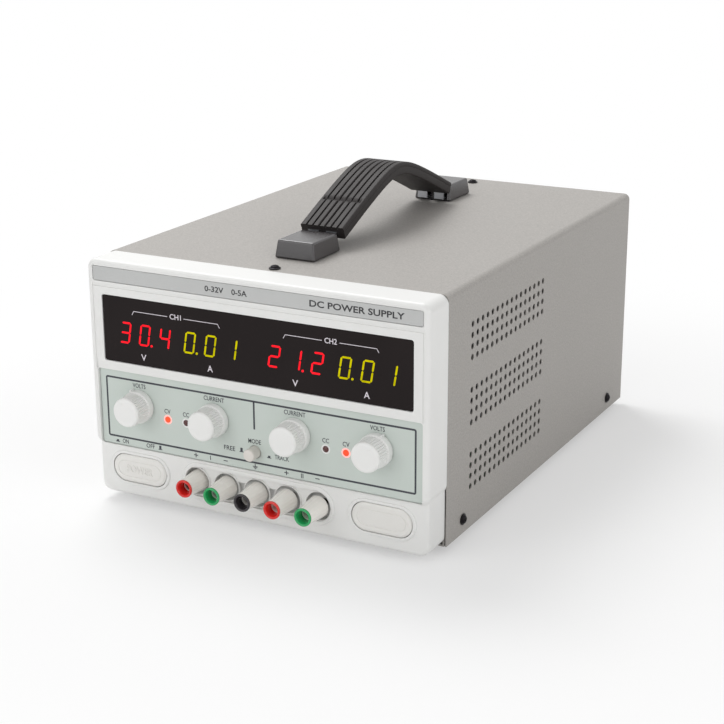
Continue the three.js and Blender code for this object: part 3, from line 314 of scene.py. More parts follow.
WHITE_FRAME = moulded("bezel_white", tint(236, 236, 234), tint(227, 227, 225), 0.42)
KNOB_WHITE = moulded("knob_white", tint(240, 240, 238), tint(229, 229, 227), 0.4, 0.3, 0.012)
CAP_WHITE = moulded("cap_white", tint(236, 235, 231), tint(226, 224, 220), 0.4)
MODE_BEIGE = moulded("mode_button_beige", tint(232, 228, 222), tint(214, 208, 200), 0.4)
STRIP_GREY = moulded("strip_grey", tint(196, 197, 196), tint(186, 187, 186), 0.5, 0.25, 0.01)
OVERLAY_GREEN = moulded("overlay_green", tint(205, 213, 207), tint(196, 205, 199), 0.5, 0.3, 0.008)
print("finishes for the front", len(bpy.data.materials))

# %% [markdown]
# ## Glossier and darker mouldings
# The posts and their rings come from polished moulds, so they have a low roughness and hardly any
# grain. The strap's end caps and the parts at the back are dark plastic. Ink is only a film, but
# it has a grain of its own, so it is made by the same recipe with the finest pits of all.

# %% Posts, dark plastic and inks
GLOSSY = 0.22
POST_BEIGE = moulded("post_beige", tint(246, 243, 238), tint(236, 232, 225), 0.26, 0.6, 0.02)
RING_RED = moulded("ring_red", tint(232, 50, 42), tint(206, 36, 34), GLOSSY, 0.5, 0.01)
RING_GREEN = moulded("ring_green", tint(46, 176, 104), tint(34, 150, 84), GLOSSY, 0.5, 0.01)
RING_BLACK = moulded("ring_black", tint(58, 54, 58), tint(42, 39, 42), GLOSSY, 0.5, 0.01)
END_CAP_BLACK = moulded(
    "end_cap_black", tint(48, 43, 45), tint(36, 32, 34), 0.24, 0.5, 0.02, Specular_IOR_Level=0.8
)
# Dark plastic of the parts at the back, also used as painted shade in the strap's end slots.
DARK_PLASTIC_AND_SLOT_SHADE = moulded("dark_plastic_and_slot_shade", tint(52, 49, 49), tint(38, 36, 36), 0.5, 0.5, 0.04)
SWITCH_RED = moulded("slider_red", tint(206, 52, 44), tint(178, 40, 34), 0.4)
SLEEVE = moulded("capacitor_sleeve", tint(40, 44, 66), tint(28, 30, 48), 0.3, 4, 0.02)
LAMP_DARK = moulded("lamp_unlit", tint(96, 52, 50), tint(70, 38, 38), 0.25, 0.5, 0.01)
INK = moulded("print_ink", tint(66, 68, 76), tint(54, 56, 62), 0.6, 0.2, 0.004)
BLACK_INK = moulded("strip_ink", tint(60, 60, 62), tint(48, 48, 50), 0.6, 0.2, 0.004)
PALE_INK = moulded("window_ink", tint(236, 230, 236), tint(214, 206, 214), 0.6, 0.2, 0.004)
print("moulded finishes", len(bpy.data.materials))

# %% [markdown]
# ## Powder coat
# The steel cover is dusted with dry paint powder, which melts in an oven into a fine leathery
# skin. Under a lamp the skin breaks into pale and dark specks, and these are painted into the
# colour: partly the powder's own flecks, partly painted highlight and shade of the skin. Two sizes
# of noise make the skin and the flecks, a third drifts slowly over whole sides, and the same skin
# drives the colour, the gloss and the bump, so that all three agree.


# %% Powder coat
def powder_coat():
    """Grey paint baked from powder: a fine leathery skin, with specks that are part flecks, part
    painted light.
    """
    finish = Finish("cover_paint", Metallic=0.0, Specular_IOR_Level=0.45)
    skin = finish.grain(1.3, 3.0)
    fleck_and_glint = finish.grain(0.7, 1.0)
    clouds = finish.grain(70, 3.0)
    # The specks in the colour are partly the powder's own flecks and partly painted highlight and
    # shade of the skin's bumps.
    colour = finish.mixed(0.55 * skin + 0.45 * fleck_and_glint, tint(122, 119, 116), tint(196, 192, 187))
    colour = finish.mixed(0.12 * clouds, colour, tint(152, 148, 143))
    finish.wear(Base_Color=colour, Roughness=0.5 + 0.16 * skin)
    finish.dented(0.7 * skin + 0.3 * fleck_and_glint, 0.2, 0.9)
    return finish.material


PAINT = powder_coat()
print("cover paint has", len(PAINT.node_tree.nodes), "nodes")

# %% [markdown]
# ## Rubber
# The strap and the feet are soft black rubber. Rubber sweats a faint grey bloom in patches and
# has open pores, so it is duller than plastic and never quite black. Bloom drives both colour and
# roughness, since the grey patches are also the dull ones.


# %% Rubber
def rubber(name, light, dark):
    finish = Finish(name, Specular_IOR_Level=0.28)
    bloom = finish.grain(22, 4.0)
    pores = finish.grain(0.4, 2.0)
    finish.wear(
        Base_Color=finish.mixed(bloom, dark, light),
        Roughness=0.46 + 0.14 * bloom + 0.06 * pores,
    )
    finish.dented(pores, 0.012, 0.6)
    return finish.material


STRAP_RUBBER = rubber("strap_rubber", tint(46, 42, 41), tint(34, 30, 30))
FOOT_RUBBER = rubber("foot_rubber", tint(52, 50, 50), tint(36, 35, 35))
print("rubber finishes", STRAP_RUBBER.name, FOOT_RUBBER.name)

# %% [markdown]
# ## Bare metals
# Inside and at the edges there is plated steel, brass, aluminium and the transformer's stacked
# core. All are metal with stains and scratches; the brass of the terminal board and its post studs
# is also darkened far below its own colour, as painted shade for the deep sockets. Rolling and
# drawing leave the scratches in one direction, so the noise can be stretched along an axis: a
# scale below 1 draws it out, and one above 1 packs it into thin lines, as on the edges of the
# core's sheets.


# %% Metals
def metal(name, light, dark, gloss, brushed=(1, 1, 1)):
    finish = Finish(name, Metallic=1.0)
    scratches = finish.grain(0.5, 3.0, finish.stretched(*brushed))
    stains = finish.grain(14, 3.0)
    finish.wear(
        Base_Color=finish.mixed(0.6 * stains + 0.4 * scratches, dark, light),
        Roughness=gloss + 0.14 * scratches + 0.08 * stains,
    )
    finish.dented(scratches, 0.01, 0.6)
    return finish.material


STEEL = metal("zinc_steel", tint(196, 198, 200), tint(168, 170, 172), 0.3)
SPRING_STEEL = metal("spring_steel", tint(182, 184, 188), tint(146, 148, 152), 0.24, (1, 0.1, 1))
# Brass darkened far below its own colour: painted shade for the deep sockets of the posts.
STUD_PAINTED_SHADE = metal("stud_brass", tint(66, 56, 42), tint(40, 33, 24), 0.5)
BRASS = metal("shaft_brass", tint(206, 178, 122), tint(168, 138, 84), 0.24)
ALUMINIUM = metal("sink_aluminium", tint(206, 208, 210), tint(184, 186, 190), 0.32, (1, 0.05, 1))
CORE_STEEL = metal("core_steel", tint(120, 118, 116), tint(88, 86, 84), 0.45, (0.2, 4, 0.2))
SCREW_BLACK = metal("screw_black", tint(44, 42, 44), tint(26, 25, 27), 0.32)
print("finishes with the metals", len(bpy.data.materials))

# %% [markdown]
# ## Board and coil
# Two finishes are patterns more than colours. A circuit board is green lacquer over raised
# copper, which large cells stand for well enough inside a closed case. The transformer's coil is
# wrapped in yellow tape, and the turns of its wire press through as even ridges, which a wave
# gives.

# %% Circuit board and winding
TRACK_SIZE, TRACK_SHARE, TURNS_PER_METRE = 5, 0.45, 260


def circuit_board():
    """Green solder mask over a faint pattern of copper tracks."""
    finish = Finish("circuit_board")
    tracks = finish.specks(TRACK_SIZE) > TRACK_SHARE
    weave = finish.grain(0.8, 2.0)
    green = finish.mixed(weave, tint(24, 84, 50), tint(34, 104, 62))
    finish.wear(
        Base_Color=finish.mixed(0.5 * tracks, green, tint(58, 130, 74)),
        Roughness=0.32 + 0.14 * weave,
    )
    finish.dented(tracks, 0.04, 0.5)
    return finish.material


def winding():
    """Tape round a coil, with the wire's turns showing through as ridges."""
    finish = Finish("winding")
    sockets = {"Vector": finish.place, "Scale": TURNS_PER_METRE}
    turns = finish.node("TexWave", {"bands_direction": "Z"}, sockets)
    creases = finish.grain(6, 3.0)
    finish.wear(
        Base_Color=finish.mixed(creases, tint(196, 150, 60), tint(222, 178, 84)),
        Roughness=0.3 + 0.2 * creases,
    )
    finish.dented(turns, 0.2, 0.5)
    return finish.material


BOARD = circuit_board()
WINDING = winding()
print("finishes in all", len(bpy.data.materials))

# %% [markdown]
# ## Smoked window and light
# The window is tinted acrylic over black digit modules. Nothing behind it shows but the lit
# segments, so a near-black surface with a sharp clear gloss stands for the whole stack. A lit
# segment gives off light in the same colour all over, a little uneven, as each is lit by one
# small chip behind it.


# %% Window and light finishes
def smoked_acrylic():
    finish = Finish("smoked_window", Specular_IOR_Level=0.12, Coat_Roughness=0.03)
    depth = finish.grain(60, 2.0)
    dust = finish.grain(1.2, 3.0)
    finish.wear(
        Base_Color=finish.mixed(depth, tint(24, 18, 18), tint(33, 25, 25)),
        Roughness=0.1 + 0.05 * dust,
        Coat_Weight=0.02 + 0.04 * depth,
    )
    return finish.material


def glowing(name, colour, edge, strength, unlit):
    """A lit surface that fades from colour to edge, over what it looks like with its light off."""
    finish = Finish(name, Emission_Strength=strength, Roughness=0.6, Specular_IOR_Level=0.0)
    chip = finish.grain(5, 2.0)
    finish.wear(
        Emission_Color=finish.mixed(chip, edge, colour),
        Base_Color=finish.mixed(chip, unlit, edge),
    )
    return finish.material


SMOKED = smoked_acrylic()
RED_LIGHT = glowing("red_segments", tint(255, 36, 50), tint(246, 22, 34), 1.0, tint(40, 5, 7))
YELLOW_LIGHT = glowing(
    "yellow_segments", tint(190, 182, 4), tint(168, 158, 0), 1.0, tint(20, 19, 3)
)
LAMP_LIT = glowing("lamp_lit", tint(255, 96, 62), tint(255, 70, 48), 1.0, tint(90, 26, 18))
LAMP_HALO = glowing(
    "lamp_halo", tint(255, 176, 170), tint(255, 198, 192), 0.6, tint(190, 130, 124)
)
print("finishes with the lights", len(bpy.data.materials))

# %% [markdown]
# ## Floor
# The object stands on a plain pale floor that runs on to the horizon. It is matt, so that it
# takes a soft shadow and gives no mirror image. Away from the object the floor fades into the
# white of the room, so that no horizon shows; near it, part of the plain paper stays, and the
# shadow on it.

# %% Floor
FLOOR_HALF = 9
LEAST_GLOW, FADE_FROM, FADE_TO = 0.4, 0.25, 0.6

floor_mesh = bmesh.new()
bmesh.ops.create_grid(floor_mesh, x_segments=1, y_segments=1, size=FLOOR_HALF)
floor_data = bpy.data.meshes.new("floor")
floor_mesh.to_mesh(floor_data)
floor_mesh.free()
floor = bpy.data.objects.new("floor", floor_data)
bpy.context.scene.collection.objects.link(floor)

paper = Finish("floor_paper", Specular_IOR_Level=0.0, Roughness=1.0)
paper.wear(Base_Color=paper.mixed(paper.grain(400), tint(240, 240, 240), tint(243, 243, 243)))
away = paper.node("VectorMath", {"operation": "LENGTH"}, {0: paper.place}, output=1)
limits = {"Value": away, 1: FADE_FROM, 2: FADE_TO}
fade = paper.node("MapRange", {"interpolation_type": "SMOOTHSTEP"}, limits)
SEEN_BY = ("Is Camera Ray", "Is Glossy Ray", "Is Transmission Ray")
camera_ray, glossy_ray, glass_ray = (paper.node("LightPath", output=ray) for ray in SEEN_BY)
looked_at = camera_ray.maths("MAXIMUM", camera_ray, glossy_ray)
looked_at = looked_at.maths("MAXIMUM", looked_at, glass_ray)
share = (LEAST_GLOW + (1 - LEAST_GLOW) * fade) * looked_at
glow = paper.node("Emission", None, {"Strength": 1.0})
shown = Signal(paper.tree, paper.shader.outputs[0])
ground = paper.node("MixShader", None, {0: share, 1: shown, 2: glow})
paper.tree.links.new(ground.socket, paper.tree.nodes["Material Output"].inputs["Surface"])
floor_data.materials.append(paper.material)
print("floor is", 2 * FLOOR_HALF, "metres wide")

# %% [markdown]
# ## Making a piece
# Every piece is made the same way: a simple solid, cuts and joins, softened edges, then a finish
# and a body to ride on. Real moulded and folded parts have no sharp edge, and the thin bright
# line that an edge radius catches is most of what makes a render look like an object.


# %% Blocks and rounded edges
def block(x, y, z, corner=0.0, steps=10):
    """A box from its lowest to its highest x, y and z, with its edges along Y rounded."""
    solid = bmesh.new()
    bmesh.ops.create_cube(solid, size=1)
    size = [high - low for low, high in (x, y, z)]
    middle = [(high + low) / 2 for low, high in (x, y, z)]
    bmesh.ops.scale(solid, vec=size, verts=solid.verts)
    bmesh.ops.translate(solid, vec=middle, verts=solid.verts)
    if corner:
        edges = [e for e in solid.edges if abs(e.verts[0].co.y - e.verts[1].co.y) > size[1] / 2]
        round_off(solid, edges, corner, steps)
    return solid


def round_off(solid, edges, radius, steps=3):
    bmesh.ops.bevel(
        solid,
        geom=edges,
        offset=radius,
        offset_type="OFFSET",
        segments=steps,
        profile=0.5,
        affect="EDGES",
        material=-1,
        clamp_overlap=False,
    )


def soften(solid, radius, steps=3, where=lambda edge: True, angle=35):
    """Rounds the sharp edges that where picks."""
    sharp = math.radians(angle)
    edges = [e for e in solid.edges if e.is_manifold and e.calc_face_angle(0) > sharp and where(e)]
    round_off(solid, edges, radius, steps)
    return solid


def on_plane(axis, place, reach=0.02):
    """Picks edges that lie in one plane square to an axis."""
    index = "xyz".index(axis)
    return lambda edge: all(abs(v.co[index] - place) < reach for v in edge.verts)


def stadium(x, y, z, steps=12):
    """A block whose ends are half round."""
    return block(x, y, z, (z[1] - z[0]) / 2 - 0.01, steps)


def around(middle, size):
    return middle - size / 2, middle + size / 2


trial = soften(block((0, 9), (0, 9), (0, 9)), 1, 2)
print("a softened block has", len(trial.faces), "faces")
trial.free()

# %% [markdown]
# ## Turned shapes
# Knobs, nuts, rings, feet and screw heads are round, so each is half an outline spun about an
# axis, as on a lathe. The outline is a list of radius and depth. A spun button can also be pulled
# apart in its middle, which gives a long one with the same edge all the way round. Points that
# meet on the axis are merged, and the normals are worked out again, because a spin can turn a
# shape inside out.


# %% Turned shapes
def turned(profile, steps=64):
    """A closed outline of [radius, y] spun about the Y axis."""
    solid = bmesh.new()
    points = [solid.verts.new((radius, y, 0)) for radius, y in profile]
    lines = [solid.edges.new(pair) for pair in zip(points, points[1:])]
    bmesh.ops.spin(
        solid,
        geom=points + lines,
        cent=(0, 0, 0),
        axis=(0, 1, 0),
        angle=2 * math.pi,
        steps=steps,
        use_merge=True,
    )
    bmesh.ops.remove_doubles(solid, verts=solid.verts, dist=1e-4)
    bmesh.ops.recalc_face_normals(solid, faces=solid.faces)
    return solid


def pin(radius, front, back, steps):
    """A plain turned cylinder."""
    return turned([(0, front), (radius, front), (radius, back), (0, back)], steps)


def pulled_apart(solid, length):
    """Pulls a turned solid apart in the middle, into a stadium with one edge all round."""
    for vertex in solid.verts:
        if abs(vertex.co.x) > 1e-3:
            vertex.co.x += math.copysign(length / 2, vertex.co.x)
    return solid


trial = pin(1, 0, 1, 24)
print("a pin of 24 steps has", len(trial.faces), "faces")
trial.free()

# %% [markdown]
# ## Placing and gathering
# Shapes are made round the origin, where their numbers are simple, and are moved to their place
# last. Pieces that belong together but don't need one surface, such as the letters of a print,
# are gathered in one mesh. That is quicker than a join and can't fail.


# %% Placing and gathering
def moved(solid, x=0.0, y=0.0, z=0.0, angle=0.0, axis="Y"):
    """Turns a solid about an axis through the origin, then moves it."""
    matrix = Matrix.Translation((x, y, z)) @ Matrix.Rotation(angle, 4, axis)
    bmesh.ops.transform(solid, matrix=matrix, verts=solid.verts)
    return solid


def gathered(*solids):
    """Several solids as one mesh, without joining their surfaces."""
    whole = bmesh.new()
    for solid in solids:
        held = bpy.data.meshes.new("held")
        solid.to_mesh(held)
        solid.free()
        whole.from_mesh(held)
        bpy.data.meshes.remove(held)
    return whole


trial = gathered(pin(1, 0, 1, 24), moved(pin(1, 0, 1, 24), x=3))
print("two pins together have", len(trial.faces), "faces")
trial.free()

# %% [markdown]
# ## Cutting and joining
# Holes and pockets are cut as in a workshop: a tool the shape of the hole is taken out of the
# solid. A Boolean modifier does it, and the result is read back as a mesh. It leaves faces with
# many sides, which can shade badly once their edges are rounded, so those are split into
# triangles at once.


# %% Cutting and joining
def as_object(solid):
    data = bpy.data.meshes.new("workpiece")
    solid.to_mesh(data)
    solid.free()
    made = bpy.data.objects.new("workpiece", data)
    bpy.context.scene.collection.objects.link(made)
    return made


def combined(operation, solid, *tools):
    """Cuts the tools out of a solid, or joins them to it, with one Boolean modifier for each."""
    base = as_object(solid)
    others = [as_object(tool) for tool in tools]
    for other in others:
        step = base.modifiers.new("step", "BOOLEAN")
        step.operation = operation
        step.solver = "MANIFOLD"
        step.object = other
    graph = bpy.context.evaluated_depsgraph_get()
    result = bpy.data.meshes.new_from_object(base.evaluated_get(graph))
    whole = bmesh.new()
    whole.from_mesh(result)
    bpy.data.meshes.remove(result)
    many_sided = [face for face in whole.faces if len(face.verts) > 4]
    bmesh.ops.triangulate(whole, faces=many_sided)
    for spent in (base, *others):
        data = spent.data
        bpy.data.objects.remove(spent)
        bpy.data.meshes.remove(data)
    return whole


def cut(solid, *tools):
    return combined("DIFFERENCE", solid, *tools)


def joined(solid, *tools):
    return combined("UNION", solid, *tools)


trial = cut(block((0, 4), (0, 4), (0, 4)), block((1, 3), (-1, 5), (1, 3)))
print("a block with a square hole has", len(trial.faces), "faces")
trial.free()

# %% [markdown]
# ## Hanging a piece on the frame
# A finished piece goes back to metres, gets smooth faces with sharp edges where it bends most,
# and a material. Weighted normals keep its large faces flat beside the rounded edges. It then
# rides on one body of the model and stands for the CAD pieces it redraws.


# %% Hanging a finished piece on the frame
def finished(name, solid, material, stands_for=(), body="root", sharp=38):
    """Moves a solid to the CAD frame and gives it its finish and body."""
    bmesh.ops.transform(solid, matrix=TO_FRAME, verts=solid.verts)
    for face in solid.faces:
        face.smooth = True
    data = bpy.data.meshes.new(name)
    solid.to_mesh(data)
    solid.free()
    data.set_sharp_from_angle(angle=math.radians(sharp))
    data.materials.append(material)
    made = bpy.data.objects.new(name, data)
    bpy.context.scene.collection.objects.link(made)
    weigh = made.modifiers.new("flat_faces_stay_flat", "WEIGHTED_NORMAL")
    weigh.keep_sharp = True
    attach(made, body)
    if stands_for:
        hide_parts(*stands_for)
    print(name, len(data.polygons), "faces")


def middle_of(node):
    """The middle of a CAD node in the workshop frame."""
    low, high = span(node)
    return (low + high) / 2


print("the case's middle is at", [round(v, 1) for v in middle_of("top_cover")])

# %% [markdown]
# ## Lettering
# The panel's words are screen printed: flat ink a few hundredths of a millimetre thick. Blender's
# own font is turned into a mesh, scaled to a measured cap height and laid on the panel, so that
# it has real thickness and takes light as the panel does. Every word here is generic, such as
# VOLTS or MODE.

# %% Printed words
INK_THICK = 0.08


def word(text, x, z, height, width, y=0.0, thick=INK_THICK, weight=0.007):
    """Letters of a given height and width whose middle is at x and z and whose back lies at y."""
    curve = bpy.data.curves.new("word", "FONT")
    curve.body = text
    curve.resolution_u = 3
    curve.extrude = 0.1
    curve.offset = weight
    holder = bpy.data.objects.new("word", curve)
    bpy.context.scene.collection.objects.link(holder)
    graph = bpy.context.evaluated_depsgraph_get()
    flat = bpy.data.meshes.new_from_object(holder.evaluated_get(graph))
    solid = bmesh.new()
    solid.from_mesh(flat)
    bpy.data.objects.remove(holder)
    bpy.data.curves.remove(curve)
    bpy.data.meshes.remove(flat)
    bmesh.ops.remove_doubles(solid, verts=solid.verts, dist=1e-5)
    low = Vector(min(v.co[i] for v in solid.verts) for i in range(3))
    high = Vector(max(v.co[i] for v in solid.verts) for i in range(3))
    bmesh.ops.translate(solid, vec=-(low + high) / 2, verts=solid.verts)
    stretch = (width / (high.x - low.x), height / (high.y - low.y), thick / (high.z - low.z))
    bmesh.ops.scale(solid, vec=stretch, verts=solid.verts)
    return moved(moved(solid, angle=math.pi / 2, axis="X"), x, y - thick / 2, z)


def bar(x0, z0, x1, z1, wide, y=0.0, thick=INK_THICK):
    """A straight printed line between two points of the panel."""
    length = math.hypot(x1 - x0, z1 - z0)
    solid = block(around(0, length), (y - thick, y), around(0, wide))
    return moved(solid, (x0 + x1) / 2, 0, (z0 + z1) / 2, -math.atan2(z1 - z0, x1 - x0))


trial = word("V", 0, 0, 4, 4)
print("a printed V has", len(trial.faces), "faces")
trial.free()

# %% [markdown]
# ## Front bezel
# The bezel is one large moulding: a raised upper frame with a rounded lower lip, over a lower
# part that stands back three millimetres. It is built as two rounded blocks joined together,
# hollowed from behind, with pockets for the strip, the window and the overlay, and with beads
# round the two caps and the terminals. The pockets' sizes come from the CAD pieces that sit in
# them.

# %% Sizes that the bezel takes from its neighbours
SEAT = 0.3
BEZEL_BACK = span("front_bezel")[1].y
BEZEL_LOW = span("front_bezel")[0].z
STEP_Z, STEP_BACK, FRONT_WALL, SIDE_WALL = 38, 3, 6, 2.7
RIM_FRONT = STEP_BACK - 1
AHEAD, THROUGH_WALL = -5, (-1, 7)


def pocket(node, corner=1.5):
    """A cut that leaves the same gap all round a flat plate set in the front."""
    low, high = span(node)
    grown = [(low[i] - SEAT, high[i] + SEAT) for i in range(3)]
    return block(grown[0], (AHEAD, grown[1][1]), grown[2], corner + SEAT, 5)


CAP_LONG, CAP_HEIGHT = 44, 20
CAP_FRONT = span("power_button")[0].y
CAP_X, _, CAP_Z = middle_of("power_button")
POST_Z = 22
POSTS = ("plus_left", "minus_left", "ground", "plus_right", "minus_right")
post_x = {name: middle_of("post_nut_" + name).x for name in POSTS}
print("cap centre", round(CAP_X, 1), round(CAP_Z, 1))
print("posts at", [round(x, 1) for x in post_x.values()])

# %% [markdown]
# ## The bezel's outside
# The outside comes first, as one closed solid, since an edge is easy to round before it is
# crossed by pockets. The raised upper frame and the lower part are rounded on their own and then
# joined. The beads round the two caps and the boss of the terminals are long blocks with half-
# round ends.

# %% The outer shape of the bezel
UPPER_CORNER, UPPER_EDGE, LIP = 6.5, 3.2, 0.6
LOWER_CORNER, LOWER_EDGE, LOWER_INSET, OVERLAP = 7, 2.6, 1.2, 12
BEAD_LONG, BEAD_HIGH, BEAD_EDGE = CAP_LONG + 6, CAP_HEIGHT + 5, 0.9
BOSS_LONG, BOSS_HIGH, BOSS_BACK = 120, 27.6, 12

upper = block((-HALF, HALF), (0, BEZEL_BACK), (STEP_Z - LIP, TOP), UPPER_CORNER, 8)
soften(upper, UPPER_EDGE, 6, on_plane("y", 0))
lower_x = (LOWER_INSET - HALF, HALF - LOWER_INSET)
lower_z = (BEZEL_LOW, STEP_Z + OVERLAP)
lower = block(lower_x, (STEP_BACK, BEZEL_BACK), lower_z, LOWER_CORNER, 8)
soften(lower, LOWER_EDGE, 5, on_plane("y", STEP_BACK))
inside_x = (SIDE_WALL - HALF, HALF - SIDE_WALL)
inside_z = (BEZEL_LOW + SIDE_WALL, TOP - SIDE_WALL)
shell = cut(joined(upper, lower), block(inside_x, (FRONT_WALL, BEZEL_BACK + 1), inside_z, 4))

beads = [
    stadium(around(x, BEAD_LONG), (RIM_FRONT, FRONT_WALL), around(CAP_Z, BEAD_HIGH))
    for x in (-CAP_X, CAP_X)
]
beads.append(stadium(around(0, BOSS_LONG), (RIM_FRONT, BOSS_BACK), around(POST_Z, BOSS_HIGH), 16))
for bead in beads:
    soften(bead, BEAD_EDGE, 4, on_plane("y", RIM_FRONT))
shell = joined(shell, *beads)
print("bezel outside", len(shell.faces), "faces")

# %% [markdown]
# ## The bezel's cuts
# Each plate gets a pocket a little larger than itself, the digits get an opening behind the
# window, and the two caps get holes with a small gap. The posts stand in five round wells in one
# long recess. Two fine grooves frame the window: one across the top and one down each side.

# %% Cuts in the bezel
LEDGE, CAP_GAP, BORDER = 3, 0.9, 3
WELL_R, WELL_BACK, STUD_R, STUD_BACK = 9.7, 10, 3.3, 13

window_low, window_high = span("display_window")
opening_x = (window_low.x + LEDGE, window_high.x - LEDGE)
opening_z = (window_low.z + LEDGE, window_high.z - LEDGE)
cap_z = around(CAP_Z, CAP_HEIGHT + CAP_GAP)
plates = [pocket(node) for node in ("name_strip", "display_window", "control_overlay")]
openings = [block(opening_x, THROUGH_WALL, opening_z)]
for x in (-CAP_X, CAP_X):
    openings.append(stadium(around(x, CAP_LONG + CAP_GAP), THROUGH_WALL, cap_z))
recess_x = around(0, BOSS_LONG - 2 * BORDER)
recess = stadium(recess_x, (-1, STEP_BACK + 1), around(POST_Z, BOSS_HIGH - 2 * BORDER), 16)
join_pocket = block(around(0, 66), (3, 10), (15.5, 27), 1.2, 3)
wells = [moved(pin(WELL_R, STEP_BACK, WELL_BACK, 48), x, 0, POST_Z) for x in post_x.values()]
studs = [moved(pin(STUD_R, 9, STUD_BACK, 24), x, 0, POST_Z) for x in post_x.values()]
grooves = [block((4 - HALF, HALF - 4), (-1, 0.7), (152.4, 154.2))]
grooves += [block(around(side * 125.4, 0.8), (-1, 0.5), (94, 152.6)) for side in (-1, 1)]
tools = [recess, join_pocket, gathered(*wells), gathered(*studs), *grooves, *plates, *openings]
shell = cut(shell, *tools)
print("bezel cut", len(shell.faces), "faces")

# %% [markdown]
# ## The bezel's inner edges
# A mould can't make a knife edge, so the mouth of each pocket is rounded a little too. The edges
# are picked by their place: they lie on one of the two front faces, and well inside the outline,
# whose own edges are rounded already.

# %% Softened mouths and the finished bezel
RIM_ZONE, MOUTH_EDGE = 3.5, 0.35


def mouth(edge):
    """An edge of a pocket or a hole where it meets a front face."""
    middle = (edge.verts[0].co + edge.verts[1].co) / 2
    inner = abs(middle.x) < HALF - RIM_ZONE and BEZEL_LOW + 3 < middle.z < TOP - RIM_ZONE
    return inner and any(on_plane("y", front)(edge) for front in (0, RIM_FRONT))


soften(shell, MOUTH_EDGE, 2, mouth)
finished("bezel", shell, WHITE_FRAME, ["front_bezel"])

# %% [markdown]
# ## Rings round the wells
# Each terminal sinks into a round well whose edge carries a thin raised ring. On the moulding
# they are one with the bezel. They are turned here as rings of their own, because a bead this
# fine is easier to spin than to leave standing between cuts.

# %% Well rings
RING_IN, RING_OUT, RING_TOP, RING_BACK = 9.75, 10.45, 2.85, 4.3
ring_profile = [(RING_IN, RING_BACK), (RING_IN, RING_TOP + 0.25), (RING_IN + 0.2, RING_TOP)]
ring_profile += [(RING_OUT - 0.2, RING_TOP), (RING_OUT, RING_TOP + 0.25), (RING_OUT, RING_BACK)]
ring_profile.append(ring_profile[0])
well_rings = [moved(turned(ring_profile, 72), x, 0, POST_Z) for x in post_x.values()]
finished("well_rings", gathered(*well_rings), WHITE_FRAME)

# %% [markdown]
# ## Folded cover
# The cover is one sheet folded over the top and both sides, with rows of punched air holes. The
# sheet is made as a rounded block with a smaller one taken out of it, so that both sides of each
# bend share a centre. The holes are real ones, cut with one tool that holds them all: seen at a
# slant, a painted dot would lack the bright far wall of each hole.

# %% Cover with its air holes
SHEET, BEND, CLEAR = 0.8, 4.5, 9
HOLE_R, HOLE_SIDES = 2.15, 14
FIRST_COLUMN, COLUMN_PITCH, COLUMNS = 63.5, 8.02, 16
GROUP_TOPS, ROW_PITCH, ROWS_IN_GROUP = (142.6, 97.5, 52.2), 7.53, 4

along = (case_low.y, case_high.y)
past_back = (0, BACK + CLEAR)
outer = block((-HALF, HALF), along, (-10, TOP), BEND, 10)
inner = block((SHEET - HALF, HALF - SHEET), past_back, (-20, TOP - SHEET), BEND - SHEET, 10)
below = block((-HALF - CLEAR, HALF + CLEAR), past_back, (-30, 0))
cover = cut(outer, inner, below)


def punch(y, z):
    """A round punch that goes through both sides of the case."""
    tool = bmesh.new()
    size = {"radius1": HOLE_R, "radius2": HOLE_R, "depth": 2 * HALF + CLEAR}
    bmesh.ops.create_cone(tool, cap_ends=True, segments=HOLE_SIDES, **size)
    return moved(moved(tool, angle=math.pi / 2, axis="Y"), 0, y, z)


columns = [FIRST_COLUMN + COLUMN_PITCH * i for i in range(COLUMNS)]
rows = [top - ROW_PITCH * i for top in GROUP_TOPS for i in range(ROWS_IN_GROUP)]
cover = cut(cover, gathered(*(punch(y, z) for y in columns for z in rows)))
soften(cover, 0.25, 2, lambda e: any(on_plane("y", y)(e) for y in along))
finished("cover", cover, PAINT, ["top_cover"])
print(2 * len(columns) * len(rows), "air holes")

# %% [markdown]
# ## Knobs
# A knob is a turned cap with a smooth domed front, fine flutes for grip and a plain skirt that
# carries a small pointer. It is spun with five points to each flute, and the points in the grip
# are pulled in and out by a cosine, which gives rounded ribs without cutting thirty-two grooves.
# The same wave, made shallow, gives the posts their grip flats.

# %% A fluted knob
FLUTES, FLUTE_DEEP, SPIN_PER_FLUTE = 32, 0.85, 5
SHAFT_R = 3.3
knob_low, knob_high = span("knob_current_left")
KNOB_FRONT, KNOB_BACK = knob_low.y, knob_high.y


def fluted(solid, flutes, deep, picked, power=1):
    """Draws the picked points in by a cosine wave round the axis."""
    for vertex in solid.verts:
        radius = math.hypot(vertex.co.x, vertex.co.z)
        if picked(radius, vertex.co.y):
            wave = (1 + math.cos(flutes * math.atan2(vertex.co.z, vertex.co.x))) / 2
            share = 1 - deep * wave**power / radius
            vertex.co.x *= share
            vertex.co.z *= share
    return solid


